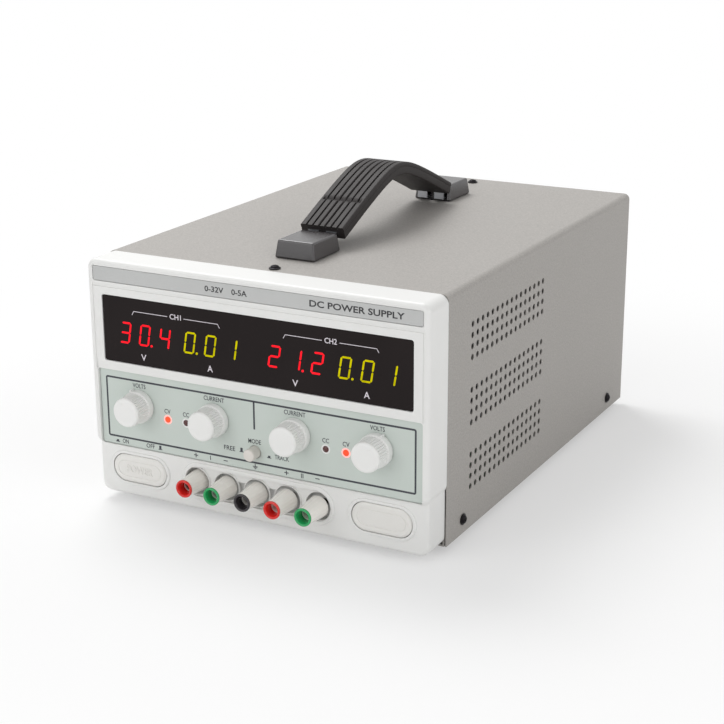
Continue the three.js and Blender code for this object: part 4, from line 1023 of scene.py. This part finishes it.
def knob():
    f, b = KNOB_FRONT, KNOB_BACK
    grip_top, grip_foot = f + 2.2, b - 5.6
    dome = [(0, f + 0.12), (5, f + 0.05), (7.6, f), (8.8, f + 0.12), (9.6, f + 0.5)]
    dome += [(10.1, f + 1.1), (10.3, f + 1.8)]
    grip = [(10.32 + 0.5 * i / 8, grip_top + (grip_foot - grip_top) * i / 8) for i in range(9)]
    skirt = [(10.9, b - 5.2), (11.3, b - 4.8), (11.5, b - 4.2), (11.5, b - 0.3), (11.2, b)]
    bore = [(SHAFT_R, b), (SHAFT_R, f + 7), (0, f + 7)]
    solid = turned(dome + grip + skirt + bore, FLUTES * SPIN_PER_FLUTE)
    fluted(solid, FLUTES, FLUTE_DEEP, lambda r, y: 10.31 < r < 10.88 and f + 2.1 < y < b - 5.4, 2)
    pointer = block((-1.6, 1.6), (b - 4.1, b - 0.1), (9.5, 12.8))
    for vertex in pointer.verts:
        if vertex.co.z > 11:
            vertex.co.x *= 0.3
    soften(pointer, 0.25, 2)
    dot = turned([(0, f - 0.2), (0.5, f - 0.2), (0.85, f + 0.15), (0, f + 0.3)], 20)
    return gathered(solid, pointer, moved(dot, z=6.6))


print("a knob is", round(KNOB_BACK - KNOB_FRONT, 1), "deep with", FLUTES, "flutes")

# %% [markdown]
# ## Four knobs in their places
# All four knobs are alike. Each is turned to a setting of its own before it is moved onto its
# shaft, as the controls of a supply in use never all point the same way.

# %% Four knobs
CONTROL_Z = middle_of("shaft_volts_left").z
KNOBS = {"volts_left": -24, "current_left": -120, "current_right": -90, "volts_right": 24}

for name, angle in KNOBS.items():
    node = "knob_" + name
    placed = moved(knob(), middle_of("shaft_" + name).x, 0, CONTROL_Z, math.radians(angle))
    finished("fluted_" + node, placed, KNOB_WHITE, [node], node, 55)

# %% [markdown]
# ## Binding posts
# Each output post is a tapered nut on a threaded stud. A coloured ring is pressed into its front,
# and its funnel guides a plug into the socket. Nut and ring are separate turned pieces, because
# the ring only travels while the nut also turns. The nut has shallow grip flats that catch light
# as streaks.

# %% A nut
GRIP_FLATS, GRIP_DEEP, SPIN_PER_FLAT = 18, 0.16, 6
NUT_MOUTH, NUT_BASE, SOCKET_DEEP = 5.5, 7.75, 5.5


def nut(front, base):
    """A tapered nut with a socket for the ring and a bore for the stud."""
    outside = [
        (NUT_MOUTH, front),
        (5.75, front),
        (5.98, front + 0.25),
        (6.02, front + 1),
        (6.9, (front + base) / 2),
        (NUT_BASE - 0.03, base - 1),
        (NUT_BASE, base - 0.6),
        (7.4, base),
    ]
    bore = [(STUD_R, base), (STUD_R, front + SOCKET_DEEP), (NUT_MOUTH, front + SOCKET_DEEP)]
    solid = turned([*outside, *bore, (NUT_MOUTH, front)], GRIP_FLATS * SPIN_PER_FLAT)
    return fluted(
        solid, GRIP_FLATS, GRIP_DEEP, lambda r, y: r > 5.99 and front + 0.5 < y < base - 0.8
    )


print("a nut tapers from", NUT_BASE, "to", NUT_MOUTH, "in radius")

# %% [markdown]
# ## The coloured rings
# The ring's front is a rounded lip that runs down into a funnel. Red marks plus, green marks
# minus and black is the ground. The ring is turned from one outline, and it rides on the body
# that slides, while the nut rides on the one that slides and turns.

# %% Rings, and the posts in their places
RING_FINISH = {
    "plus_left": (RING_RED, "ring_red"),
    "minus_left": (RING_GREEN, "ring_green"),
    "ground": (RING_BLACK, "ring_black"),
    "plus_right": (RING_RED, "ring_red"),
    "minus_right": (RING_GREEN, "ring_green"),
}
PLUG_R, RING_NECK, LIP_DEEP = 3.75, 5.2, 1.5


def plug_ring(front, back):
    funnel = [(PLUG_R, back), (PLUG_R, front + 3.2), (4.25, front + 1.5), (4.6, front + 0.6)]
    lip = [(4.95, front + 0.15), (5.4, front), (5.85, front + 0.12), (6.18, front + 0.45)]
    rim = [(6.3, front + 0.9), (6.22, front + LIP_DEEP), (RING_NECK, front + LIP_DEEP)]
    return turned([*funnel, *lip, *rim, (RING_NECK, back), (PLUG_R, back)], 72)


for name, x in post_x.items():
    nut_low, nut_high = span("post_nut_" + name)
    barrel = moved(nut(nut_low.y, nut_high.y), x, 0, POST_Z)
    node, body = "post_nut_" + name, "nut_" + name
    finished("barrel_" + name, barrel, POST_BEIGE, [node], body)
    ring_low, ring_high = span("post_ring_" + name)
    ring = moved(plug_ring(ring_low.y, ring_high.y), x, 0, POST_Z)
    colour, slot = RING_FINISH[name]
    finished("plug_ring_" + name, ring, colour, ["post_ring_" + name], "ring_" + name)

# %% [markdown]
# ## Power button and its twin
# The left cap is the power button; the right one is a blank that balances the front. Both have a
# raised field inside a shallow groove. Only the left one is marked, with letters raised a little
# in the same plastic, so the word shows by its shadows alone.

# %% The two caps
CAP_STEPS, FLANGE, FLANGE_THICK = 64, 1.2, 0.8


def cap(x, back, flange_front):
    """A turned button, pulled apart: field, groove, rounded border, side and flange."""
    f, r = CAP_FRONT, CAP_HEIGHT / 2
    field = [(0, f), (5.1, f), (5.35, f + 0.08), (5.5, f + 0.35)]
    groove = [(6.0, f + 0.35), (6.15, f + 0.08), (6.4, f)]
    border = [(r - 1.7, f), (r - 1.2, f + 0.1), (r - 0.9, f + 0.4), (r - 0.45, f + 0.5)]
    side = [(r - 0.12, f + 0.75), (r, f + 1.3), (r, flange_front)]
    flange = [(r + FLANGE, flange_front), (r + FLANGE, back), (0, back)]
    body = turned([*field, *groove, *border, *side, *flange], CAP_STEPS)
    body = pulled_apart(moved(body, angle=math.pi / CAP_STEPS), CAP_LONG - CAP_HEIGHT)
    return moved(body, x, 0, CAP_Z)


for name, x, body in (("power_button", CAP_X, "power_button"), ("blank_cap", -CAP_X, "root")):
    cap_back = span(name)[1].y
    parts = [cap(x, cap_back, cap_back - FLANGE_THICK)]
    if name == "power_button":
        parts.append(word("POWER", x, CAP_Z, 5.6, 21.5, CAP_FRONT + 0.1, thick=0.5))
    finished("moulded_" + name, gathered(*parts), CAP_WHITE, [name], body)

# %% [markdown]
# ## Mode button
# The mode button is a small turned pin with a rounded nose, pressed in to make one output follow
# the other. It is spun like the knobs, from a few points that round its front edge.

# %% Mode button
mode_low, mode_high = span("mode_button")
MODE_Z = middle_of("mode_button").z
f, b = mode_low.y, mode_high.y
nose = [(0, f), (3.3, f), (3.9, f + 0.25), (4.2, f + 0.7), (4.3, f + 1.3)]
mode_pin = moved(turned([*nose, (4.3, b), (0, b)], 56), z=MODE_Z)
finished("mode_pin", mode_pin, MODE_BEIGE, ["mode_button"], "mode_button")

# %% [markdown]
# ## Lamps
# The lamps are light-emitting diodes whose domes fill holes in the overlay. One in each pair is
# lit, and glows on the edge of its hole. Dome and rim are two turned shapes, so that the rim can
# take a paler glow than the dome, as scattered light does.

# %% Lamps
OVERLAY_FRONT = span("control_overlay")[0].y
LAMP_Z = CONTROL_Z - 6.4
LAMPS = {
    "cv_left": (-69.3, True),
    "cc_left": (-54.3, False),
    "cc_right": (54.3, False),
    "cv_right": (69.3, True),
}
DOME_R, RIM_IN, RIM_OUT = 2.22, 2.24, 3.3


def dome(x):
    f = OVERLAY_FRONT
    outline = [(0, f - 0.95), (0.9, f - 0.85), (1.6, f - 0.6), (2.1, f - 0.38)]
    outline += [(DOME_R, f - 0.2), (DOME_R, f + 3), (0, f + 3)]
    return moved(turned(outline, 32), x, 0, LAMP_Z)


def rim(x):
    front, back = OVERLAY_FRONT - 0.05, OVERLAY_FRONT + 0.5
    outline = [(RIM_IN, back), (RIM_IN, front), (RIM_OUT, front), (RIM_OUT, back), (RIM_IN, back)]
    return moved(turned(outline, 32), x, 0, LAMP_Z)


for name, (x, lit) in LAMPS.items():
    finished("lamp_" + name, dome(x), LAMP_LIT if lit else LAMP_DARK)
    finished("lamp_rim_" + name, rim(x), LAMP_HALO if lit else KNOB_WHITE)

# %% [markdown]
# ## Strip, window and overlay
# Three flat plates are set in the bezel. Each is remade with rounded corners and a fine edge
# radius, so that its border shows as a line of light. The overlay also has clear holes for its
# controls.

# %% Flat plates
KNOB_HOLE, MODE_HOLE, LAMP_HOLE = 4.9, 4.7, 2.3


def plate(node, corner=1.5):
    low, high = span(node)
    solid = block((low.x, high.x), (low.y, high.y), (low.z, high.z), corner, 6)
    return soften(solid, 0.25, 2, on_plane("y", low.y))


finished("plate_strip", plate("name_strip"), STRIP_GREY, ["name_strip"])
finished("plate_window", plate("display_window"), SMOKED, ["display_window"])
holes = [(x, CONTROL_Z, KNOB_HOLE) for x in (-92, -31.5, 31.5, 92)] + [(0, MODE_Z, MODE_HOLE)]
holes += [(x, LAMP_Z, LAMP_HOLE) for x, _ in LAMPS.values()]
drills = [moved(pin(radius, 0, 6, 40), x, 0, z) for x, z, radius in holes]
overlay = cut(plate("control_overlay"), gathered(*drills))
finished("plate_overlay", overlay, OVERLAY_GREEN, ["control_overlay"])

# %% [markdown]
# ## Printed panel
# The overlay carries the names of its controls inside a thin frame line that divides the two
# outputs. Small marks show a button that is out or in, and an earth mark stands over the middle
# post. They are built from the same bars as the frame, as a sign painter would do with a ruler.

# %% Names on the overlay
LABEL_HIGH = 3.2
LABELS = [
    ("VOLTS", -92.2, 84.3, 10.6),
    ("CURRENT", -31.3, 84.4, 16.2),
    ("CURRENT", 31.3, 84.4, 16.2),
    ("VOLTS", 92.2, 84.3, 10.6),
    ("CV", -69.4, 69.5, 5),
    ("CC", -54.3, 69.5, 5),
    ("CC", 54.3, 69.5, 5),
    ("CV", 69.4, 69.5, 5),
    ("MODE", 0, 59.5, 9.8),
    ("FREE", -19.9, 51.5, 8.8),
    ("TRACK", 20.9, 51.3, 11),
    ("ON", -105.8, 41.6, 5),
    ("OFF", -84.8, 41.6, 6.8),
]
signs = [word(text, x, z, LABEL_HIGH, width, OVERLAY_FRONT) for text, x, z, width in LABELS]
print(len(LABELS), "names on the overlay")

# %% [markdown]
# ## Lines and signs on the overlay
# The frame is a rounded rectangle with a smaller one cut out of it. Plus, minus, the roman
# numbers of the two outputs, the earth mark and the marks for a button that is out or in are all
# short bars, each given by its two ends.

# %% Lines and signs on the overlay
FRAME_X, FRAME_LOW, FRAME_HIGH, LINE = 120.0, 43.8, 88.3, 1.3
SIGN_Z, SIGN_HALF = 41.6, 1.6


def framed(half, low, high, wide, radius, y):
    """A thin printed rectangle with round corners."""
    outside = block((-half, half), (y - INK_THICK, y), (low, high), radius, 6)
    inner_x, inner_z = (wide - half, half - wide), (low + wide, high - wide)
    return cut(outside, block(inner_x, (y - 1, y + 1), inner_z, radius - wide, 6))


def across(x, z, half, wide):
    return bar(x - half, z, x + half, z, wide, OVERLAY_FRONT)


def upright(x, low, high, wide):
    return bar(x, low, x, high, wide, OVERLAY_FRONT)


def button_mark(x, z, pressed):
    """A small picture of a button standing out of its base, or pressed into it."""
    tall = 1.3 if pressed else 2.6
    return [across(x, z - 1.2, 1.6, 0.5), across(x, z - 1 + tall / 2, 0.9, tall)]


signs.append(framed(FRAME_X, FRAME_LOW, FRAME_HIGH, LINE, 1.6, OVERLAY_FRONT))
signs.append(upright(0, 68.1, 87.6, LINE))
low, high = SIGN_Z - SIGN_HALF, SIGN_Z + SIGN_HALF
for x in (-47.3, 24.2):
    signs += [across(x, SIGN_Z, SIGN_HALF, 0.6), upright(x, low, high, 0.6)]
signs += [across(x, SIGN_Z, SIGN_HALF, 0.6) for x in (-23.4, 47.8)]
signs += [upright(x, low, high, 0.55) for x in (-35.6, 35.6, 36.8)]
signs.append(upright(0, 41.8, 43.6, 0.55))
signs += [across(0, z, half, 0.5) for half, z in ((1.9, 41.6), (1.3, 40.8), (0.6, 40.0))]
for x, z, pressed in ((-112.5, 41.6, True), (-76.7, 41.6, False)):
    signs += button_mark(x, z, pressed)
for x, z, pressed in ((-10.5, 51.6, False), (11.1, 51.0, True)):
    signs += button_mark(x, z, pressed)
finished("overlay_print", gathered(*signs), INK)

# %% [markdown]
# ## Words on the strip
# The grey strip says what the instrument is and what it gives: up to 32 volts and 5 amperes. The
# place at the left for a maker's name stays bare. The letters are bolder than those of the
# overlay, so their curves are offset further before they become a mesh.

# %% Strip print
strip_front, strip_z = span("name_strip")[0].y, middle_of("name_strip").z
strip_words = [
    word("DC POWER SUPPLY", 78.3, strip_z, 4.4, 67.6, strip_front, weight=0.022),
    word("0-32V", -27.3, strip_z, 3.9, 14.6, strip_front, weight=0.016),
    word("0-5A", -8, strip_z, 3.9, 11.8, strip_front, weight=0.016),
]
finished("strip_print", gathered(*strip_words), BLACK_INK)

# %% [markdown]
# ## Digits
# Each reading has three figures of seven segments that lean a little. A segment is a bar with
# both ends cut to points, which is a small block with its four upright edges bevelled by half its
# width. They lie on the window as thin glowing plates, since smoked acrylic hides everything but
# the light itself.

# %% A figure of seven segments
DIGIT_LOW, DIGIT_HIGH, DIGIT_WIDE, STROKE = 114.2, 129.5, 8.4, 1.3
SEGMENTS = {"0": "abcdef", "1": "bc", "2": "abged", "3": "abgcd", "4": "fgbc"}
WINDOW_FRONT = window_low.y
LIGHT_Y = (WINDOW_FRONT - INK_THICK, WINDOW_FRONT)


def segment(along_x, x, z, length):
    """A bar with pointed ends, lying across or standing up."""
    size = (length, STROKE) if along_x else (STROKE, length)
    return block(around(x, size[0]), LIGHT_Y, around(z, size[1]), STROKE * 0.46, 1)


def digit(figure, left):
    tall, half = DIGIT_HIGH - DIGIT_LOW, DIGIT_WIDE / 2
    reach = half - STROKE / 2
    quarter = (tall - STROKE) / 4
    middle = DIGIT_LOW + tall / 2
    places = {
        "a": (True, 0, middle + 2 * quarter),
        "g": (True, 0, middle),
        "d": (True, 0, middle - 2 * quarter),
        "f": (False, -reach, middle + quarter),
        "b": (False, reach, middle + quarter),
        "e": (False, -reach, middle - quarter),
        "c": (False, reach, middle - quarter),
    }
    solids = []
    for key in SEGMENTS[figure]:
        flat, x, z = places[key]
        length = DIGIT_WIDE - STROKE - 0.5 if flat else tall / 2 - STROKE * 0.75
        solids.append(segment(flat, left + half + x, z, length))
    return solids


print("figures are", round(DIGIT_HIGH - DIGIT_LOW, 1), "high and", DIGIT_WIDE, "wide")

# %% [markdown]
# ## Four readings
# Each output shows its volts in red and its current in yellow. The figures are set upright side
# by side, and the whole row is then sheared to the right as it rises, which leans every figure
# about its own middle height at once.

# %% Readings
LEAN, POINT_SIZE, POINT_GAP = math.radians(9.5), 1.7, 2.2
VOLT_LEFTS = (-104.4, -88.6, -72.3)
AMP_LEFTS = (-52.2, -36.0, -19.7)
OUTPUT_GAP = 117.8


def reading(text, lefts, dot_after, shift=0.0):
    """Three figures and a decimal point at the foot of one of them."""
    lefts = [left + shift for left in lefts]
    solids = [part for figure, left in zip(text, lefts) for part in digit(figure, left)]
    point_x = around(lefts[dot_after] + DIGIT_WIDE + POINT_GAP, POINT_SIZE)
    return [*solids, block(point_x, LIGHT_Y, around(DIGIT_LOW + 0.9, POINT_SIZE), 0.7, 4)]


def leaned(solids):
    """Shears each figure to the right as it rises."""
    whole = gathered(*solids)
    for vertex in whole.verts:
        vertex.co.x += (vertex.co.z - (DIGIT_LOW + DIGIT_HIGH) / 2) * math.tan(LEAN)
    return whole


red = reading("304", VOLT_LEFTS, 1) + reading("212", VOLT_LEFTS, 1, OUTPUT_GAP)
yellow = reading("001", AMP_LEFTS, 0) + reading("001", AMP_LEFTS, 0, OUTPUT_GAP)
finished("red_digits", leaned(red), RED_LIGHT)
finished("yellow_digits", leaned(yellow), YELLOW_LIGHT)

# %% [markdown]
# ## Words on the window
# Pale ink on the window names the two channels and the units under each reading. A thin bracket
# runs from each channel's name to both sides and turns down at its ends, to show which readings
# belong to it.

# %% Window print
UNIT_Z, CHANNEL_Z, BRACKET_Z, HAIRLINE = 106, 138.2, 137.8, 0.4
UNITS = [("V", -86), ("A", -32.5), ("V", 33), ("A", 85.4)]
CHANNELS = [("CH1", -58.9, -94.2, -24.0), ("CH2", 59.6, 24.5, 94.1)]

window_signs = [word(text, x, UNIT_Z, 4.4, 4.2, WINDOW_FRONT) for text, x in UNITS]
for text, x, left, right in CHANNELS:
    window_signs.append(word(text, x, CHANNEL_Z, 3.7, 9, WINDOW_FRONT))
    for ends in (
        (left + 1.5, BRACKET_Z, x - 6.5, BRACKET_Z),
        (x + 6.5, BRACKET_Z, right - 1.5, BRACKET_Z),
        (left, 135.2, left + 1.6, 137.9),
        (right - 1.6, 137.9, right, 135.2),
    ):
        window_signs.append(bar(*ends, HAIRLINE, WINDOW_FRONT))
finished("window_print", gathered(*window_signs), PALE_INK)

# %% [markdown]
# ## Carrying strap
# The strap is moulded rubber over a steel strip, curved like a flat bow. Its cross-section is a
# closed outline with grooves along the top. The outline is extruded from station to station along
# the bow, and at each station it is set square to the bow. Near the ends a groove runs across all
# the ribs.

# %% The strap's bow
STRAP_Y = middle_of("handle_strap").y
REACH, CROWN_SIZE, FALL = 86, 10, 30
SLOPE = math.sqrt((FALL + CROWN_SIZE) ** 2 - CROWN_SIZE**2) / REACH
CROWN = TOP + 41.8


def bow(along):
    """The strap's middle line: its height, and the direction square to it."""
    spread = math.hypot(CROWN_SIZE, SLOPE * along)
    fall = SLOPE**2 * along / spread
    square = math.hypot(1, fall)
    return CROWN - (spread - CROWN_SIZE), fall / square, 1 / square


print("the bow falls", round(CROWN - bow(REACH)[0], 1), "from its crown to its ends")

# %% [markdown]
# ## The strap's cross-section
# The top of the strap has six soft grooves with rounded ribs between them, and a fine slit runs
# along each side where the two halves of the mould met. The grooves' depth is a formula of the
# place, so the outline changes from station to station where the cross groove passes.

# %% The strap's cross-section
STRAP_WIDE, STRAP_THICK, TOP_STEPS = 34, 9, 84
EDGE_IN, PLAIN = 1.1, 2.5
GROOVES, GROOVE_WIDE, GROOVE_DEEP = 6, 1.3, 1.5
CROSS_AT, CROSS_WIDE = 56, 1.6


def groove_depth(x, along):
    """How deep the top is cut at a place across and along the strap."""
    half = STRAP_WIDE / 2
    pitch = (STRAP_WIDE - 2 * PLAIN) / GROOVES
    place = abs((x + half - PLAIN) / pitch % 1 - 0.5) * pitch
    lengthwise = crosswise = 0.0
    if abs(x) < half - PLAIN:
        lengthwise = max(0.0, 1 - (place / (GROOVE_WIDE / 2)) ** 2)
    if abs(x) < half - 2:
        crosswise = max(0.0, 1 - ((abs(along) - CROSS_AT) / CROSS_WIDE) ** 2)
    return GROOVE_DEEP * max(min(1.0, 1.6 * lengthwise), 0.9 * crosswise)


def outline_at(along):
    """The cross-section as [x, height above the middle layer] all the way round."""
    half, thick = STRAP_WIDE / 2, STRAP_THICK / 2
    across_top = [
        -half + EDGE_IN + (STRAP_WIDE - 2 * EDGE_IN) * i / TOP_STEPS for i in range(TOP_STEPS + 1)
    ]
    top = [(x, thick - groove_depth(x, along)) for x in across_top]
    right = [(half - 0.35, thick - 0.3), (half, thick - 1.1)]
    right += [(half, 1.6), (half - 0.35, 1.3), (half - 0.35, 1.0), (half, 0.7)]
    right += [(half, 1 - thick), (half - 0.4, 0.3 - thick), (half - EDGE_IN, -thick)]
    left = [(-x, up) for x, up in reversed(right)]
    return top + right + left


print("the cross-section has", len(outline_at(0)), "points")

# %% [markdown]
# ## The strap's length
# The outline is drawn once as a ring of edges and closed with a face. The ring is then extruded
# along the bow, eighty steps in all. After each step the new points are matched with the old ones
# by their place, and are moved to the outline of their own station.

# %% The strap
STATIONS = 80


def key(place):
    """A place as a key that finds it again."""
    return tuple(round(c, 4) for c in place)


def station(along):
    """The outline's points at one place along the bow, square to it."""
    height, lean, rise = bow(along)
    return [
        Vector((x, STRAP_Y + along + up * lean, height + up * rise)) for x, up in outline_at(along)
    ]


def strap():
    solid = bmesh.new()
    stops = [i / STATIONS * 2 * REACH - REACH for i in range(STATIONS + 1)]
    points = station(stops[0])
    ring = [solid.verts.new(point) for point in points]
    edges = [solid.edges.new(pair) for pair in zip(ring, ring[1:] + ring[:1])]
    bmesh.ops.contextual_create(solid, geom=edges)
    for along in stops[1:]:
        order = {key(point): i for i, point in enumerate(points)}
        points = station(along)
        grown = bmesh.ops.extrude_edge_only(solid, edges=edges)["geom"]
        edges = [g for g in grown if isinstance(g, bmesh.types.BMEdge)]
        edges = [e for e in edges if all(len(v.link_faces) < 3 for v in e.verts)]
        for vertex in {v for e in edges for v in e.verts}:
            vertex.co = points[order[key(vertex.co)]]
    bmesh.ops.contextual_create(solid, geom=edges)
    bmesh.ops.recalc_face_normals(solid, faces=solid.faces)
    return solid


finished("ribbed_strap", strap(), STRAP_RUBBER, ["handle_strap"], "handle", 50)

# %% [markdown]
# ## Painted shade at the strap's ends
# The steel strip comes out of a flat slot at each end of the strap. The shade inside the slot is
# painted: a thin dark sheet with round corners, set square to the bow just at the end face. A cut
# there would break the ribs' smooth surface.

# %% Painted shade for the slots
for name, side in (("front", -1), ("rear", 1)):
    height, lean, rise = bow(side * REACH)
    # A dark sheet as painted shade, standing for the shade inside the slot.
    slot_shade = block(around(0, 25), (-0.1, 0.1), around(0, 2.6), 0.5, 3)
    slot_shade = moved(slot_shade, 0, STRAP_Y + side * REACH, height, -math.atan2(lean, rise), "X")
    finished("strap_slot_shade_" + name, slot_shade, DARK_PLASTIC_AND_SLOT_SHADE, body="handle")

# %% [markdown]
# ## End caps
# The strap's steel prongs slide in two slots of each end cap, which is why the handle can lift a
# little and lie flatter again. A cap is a block whose top is drawn in a tenth for its draft.

# %% Two end caps
DRAFT, END_CAP_EDGE = 0.9, 1.3
SLOT_X, SLOT_WIDE, SLOT_DEEP, SHELF_WIDE = 7, 8.6, 17, 25


def end_cap(node, side):
    low, high = span(node)
    middle = (low + high) / 2
    solid = block((low.x, high.x), (low.y, high.y), (low.z, high.z))
    for vertex in solid.verts:
        if vertex.co.z > middle.z:
            vertex.co.x *= DRAFT
            vertex.co.y = middle.y + (vertex.co.y - middle.y) * DRAFT
    soften(solid, END_CAP_EDGE, 4)
    mouth_y = high.y if side < 0 else low.y
    slot_y = sorted((mouth_y + side * SLOT_DEEP, mouth_y - side * 2))
    slot_z = (low.z + 1.6, low.z + 6.4)
    slots = [block(around(x, SLOT_WIDE), slot_y, slot_z) for x in (-SLOT_X, SLOT_X)]
    shelf = block(around(0, SHELF_WIDE), around(mouth_y, 4.4), (low.z + 1.2, low.z + 8.4))
    return cut(solid, *slots, shelf)


for node, side in (("handle_cap_front", -1), ("handle_cap_rear", 1)):
    finished("drafted_" + node, end_cap(node, side), END_CAP_BLACK, [node])

# %% [markdown]
# ## Screws
# Six black screws hold the cover. Each has a washer face under a dome, with a crossed recess for
# the driver. The head is turned once, pointing forward, cut with two crossed blocks, and then
# laid over to point up or to the side.

# %% Screws
HEAD_TALL, SHANK_R, SHANK_DEEP = 2.6, 1.6, 9


def crossed(long, wide, front, back):
    """Two blocks that cut a crossed recess."""
    sizes = ((long, wide), (wide, long))
    return [block(around(0, a), (front, back), around(0, b)) for a, b in sizes]


def screw(node):
    low, high = span(node)
    middle = (low + high) / 2
    shank = [(0, -SHANK_DEEP), (SHANK_R, -SHANK_DEEP), (SHANK_R, 0.3)]
    washer = [(3.6, 0.3), (4, 0.5), (4, 0.9), (3.1, 1.2)]
    crown = [(2.9, 1.7), (2.3, 2.3), (1.2, HEAD_TALL - 0.02), (0, HEAD_TALL)]
    head = cut(turned([*shank, *washer, *crown], 40), *crossed(3.4, 0.8, 1.5, 4))
    if high.z - low.z > SHANK_DEEP + 1:
        top = high.z - HEAD_TALL
        return moved(moved(head, angle=math.pi / 2, axis="X"), middle.x, middle.y, top)
    side = math.copysign(1, middle.x)
    place = (high.x if side > 0 else low.x) - side * HEAD_TALL
    return moved(moved(head, angle=-side * math.pi / 2, axis="Z"), place, middle.y, middle.z)


for place in ("top_front", "top_rear", "left_front", "left_rear", "right_front", "right_rear"):
    node = "screw_" + place
    finished("crosshead_" + place, screw(node), SCREW_BLACK, [node])

# %% [markdown]
# ## Feet
# The feet are turned rubber cones that stand on a flat ring, with a boss that fills the hole in
# the base. A spin gives the whole foot from one outline, and a quarter turn stands it upright.


# %% Feet
def foot(node):
    sole = [(0, 0.8), (3.6, 0.8), (4, 0), (6.4, 0), (6.8, 0.3)]
    side = [(7.9, 4.4), (7.9, 4.7), (3, 4.7), (3, 7.2), (0, 7.2)]
    solid = moved(turned(sole + side, 48), angle=math.pi / 2, axis="X")
    middle = middle_of(node)
    return moved(solid, middle.x, middle.y, span(node)[0].z)


for place in ("front_left", "front_right", "rear_left", "rear_right"):
    node = "foot_" + place
    finished("rubber_" + node, foot(node), FOOT_RUBBER, [node])

# %% [markdown]
# ## Words on the back
# The back carries plain words for its connector, its fuse and its voltage switch. They are
# printed as on the front, turned half round, so that they read from behind.

# %% Back print
REAR_FACE = span("rear_panel")[1].y
inlet_x = middle_of("mains_inlet").x
switch_x = middle_of("voltage_selector").x
inlet_foot, inlet_top = (corner.z for corner in span("mains_inlet"))
switch_top = span("voltage_selector")[1].z


def back_word(text, x, z, height, width):
    """A word that reads from behind."""
    return moved(moved(word(text, 0, 0, height, width), angle=math.pi, axis="Z"), x, REAR_FACE, z)


back_words = [
    back_word("AC INPUT", inlet_x, inlet_top + 5, 3.4, 20),
    back_word("FUSE", inlet_x, inlet_foot - 5, 3.2, 10),
    back_word("115", switch_x + 7, switch_top + 4, 3.2, 7),
    back_word("230", switch_x - 7, switch_top + 4, 3.2, 7.4),
]
finished("back_print", gathered(*back_words), BLACK_INK)

# %% [markdown]
# ## Fan screws
# Four domed screw heads hold the fan to the back panel. They sit at the fan's standard hole
# pitch, 71.5 millimetres, round its middle, so two loops place them.

# %% Fan screws
FAN_PITCH = 71.5
fan_middle = middle_of("fan_housing")
heads = []
for side_x in (-1, 1):
    for side_z in (-1, 1):
        head = turned([(0, 0), (3.3, 0), (3.3, 0.7), (2.9, 1.2), (1.6, 1.5), (0, 1.6)], 36)
        head = cut(head, *crossed(3.2, 0.8, 0.9, 3))
        x = fan_middle.x + side_x * FAN_PITCH / 2
        z = fan_middle.z + side_z * FAN_PITCH / 2
        heads.append(moved(head, x, REAR_FACE, z))
finished("fan_screws", gathered(*heads), SCREW_BLACK)
print("rear face is at", round(REAR_FACE, 2), "of", round(BACK, 2))

# %% [markdown]
# ## Finishes for the pieces kept from the model
# The base, the back and everything inside keep their CAD shapes, because these are true already.
# They only get the finish of what they are made of, except the terminal board, whose brass is
# darkened as painted shade for the deep post sockets.

# %% Finishes on the CAD pieces
KEPT = {
    "base_pan": PAINT,
    "rear_panel": PAINT,
    "front_subpanel": STEEL,
    "control_board": BOARD,
    "display_board": BOARD,
    "power_switch": DARK_PLASTIC_AND_SLOT_SHADE,
    "terminal_board": STUD_PAINTED_SHADE,
    "handle_spring": SPRING_STEEL,
    "fan_housing": DARK_PLASTIC_AND_SLOT_SHADE,
    "fan_rotor": DARK_PLASTIC_AND_SLOT_SHADE,
    "mains_inlet": DARK_PLASTIC_AND_SLOT_SHADE,
    "fuse_drawer": DARK_PLASTIC_AND_SLOT_SHADE,
    "voltage_selector": DARK_PLASTIC_AND_SLOT_SHADE,
    "selector_slider": SWITCH_RED,
    "transformer_core": CORE_STEEL,
    "transformer_coil": WINDING,
    "main_board": BOARD,
    "capacitor_front": SLEEVE,
    "capacitor_rear": SLEEVE,
    "heatsink": ALUMINIUM,
    **{"shaft_" + name: BRASS for name in KNOBS},
}
for node, material in KEPT.items():
    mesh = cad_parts[node].data
    mesh.materials.clear()
    mesh.materials.append(material)
print(len(KEPT), "CAD pieces finished")

# %% [markdown]
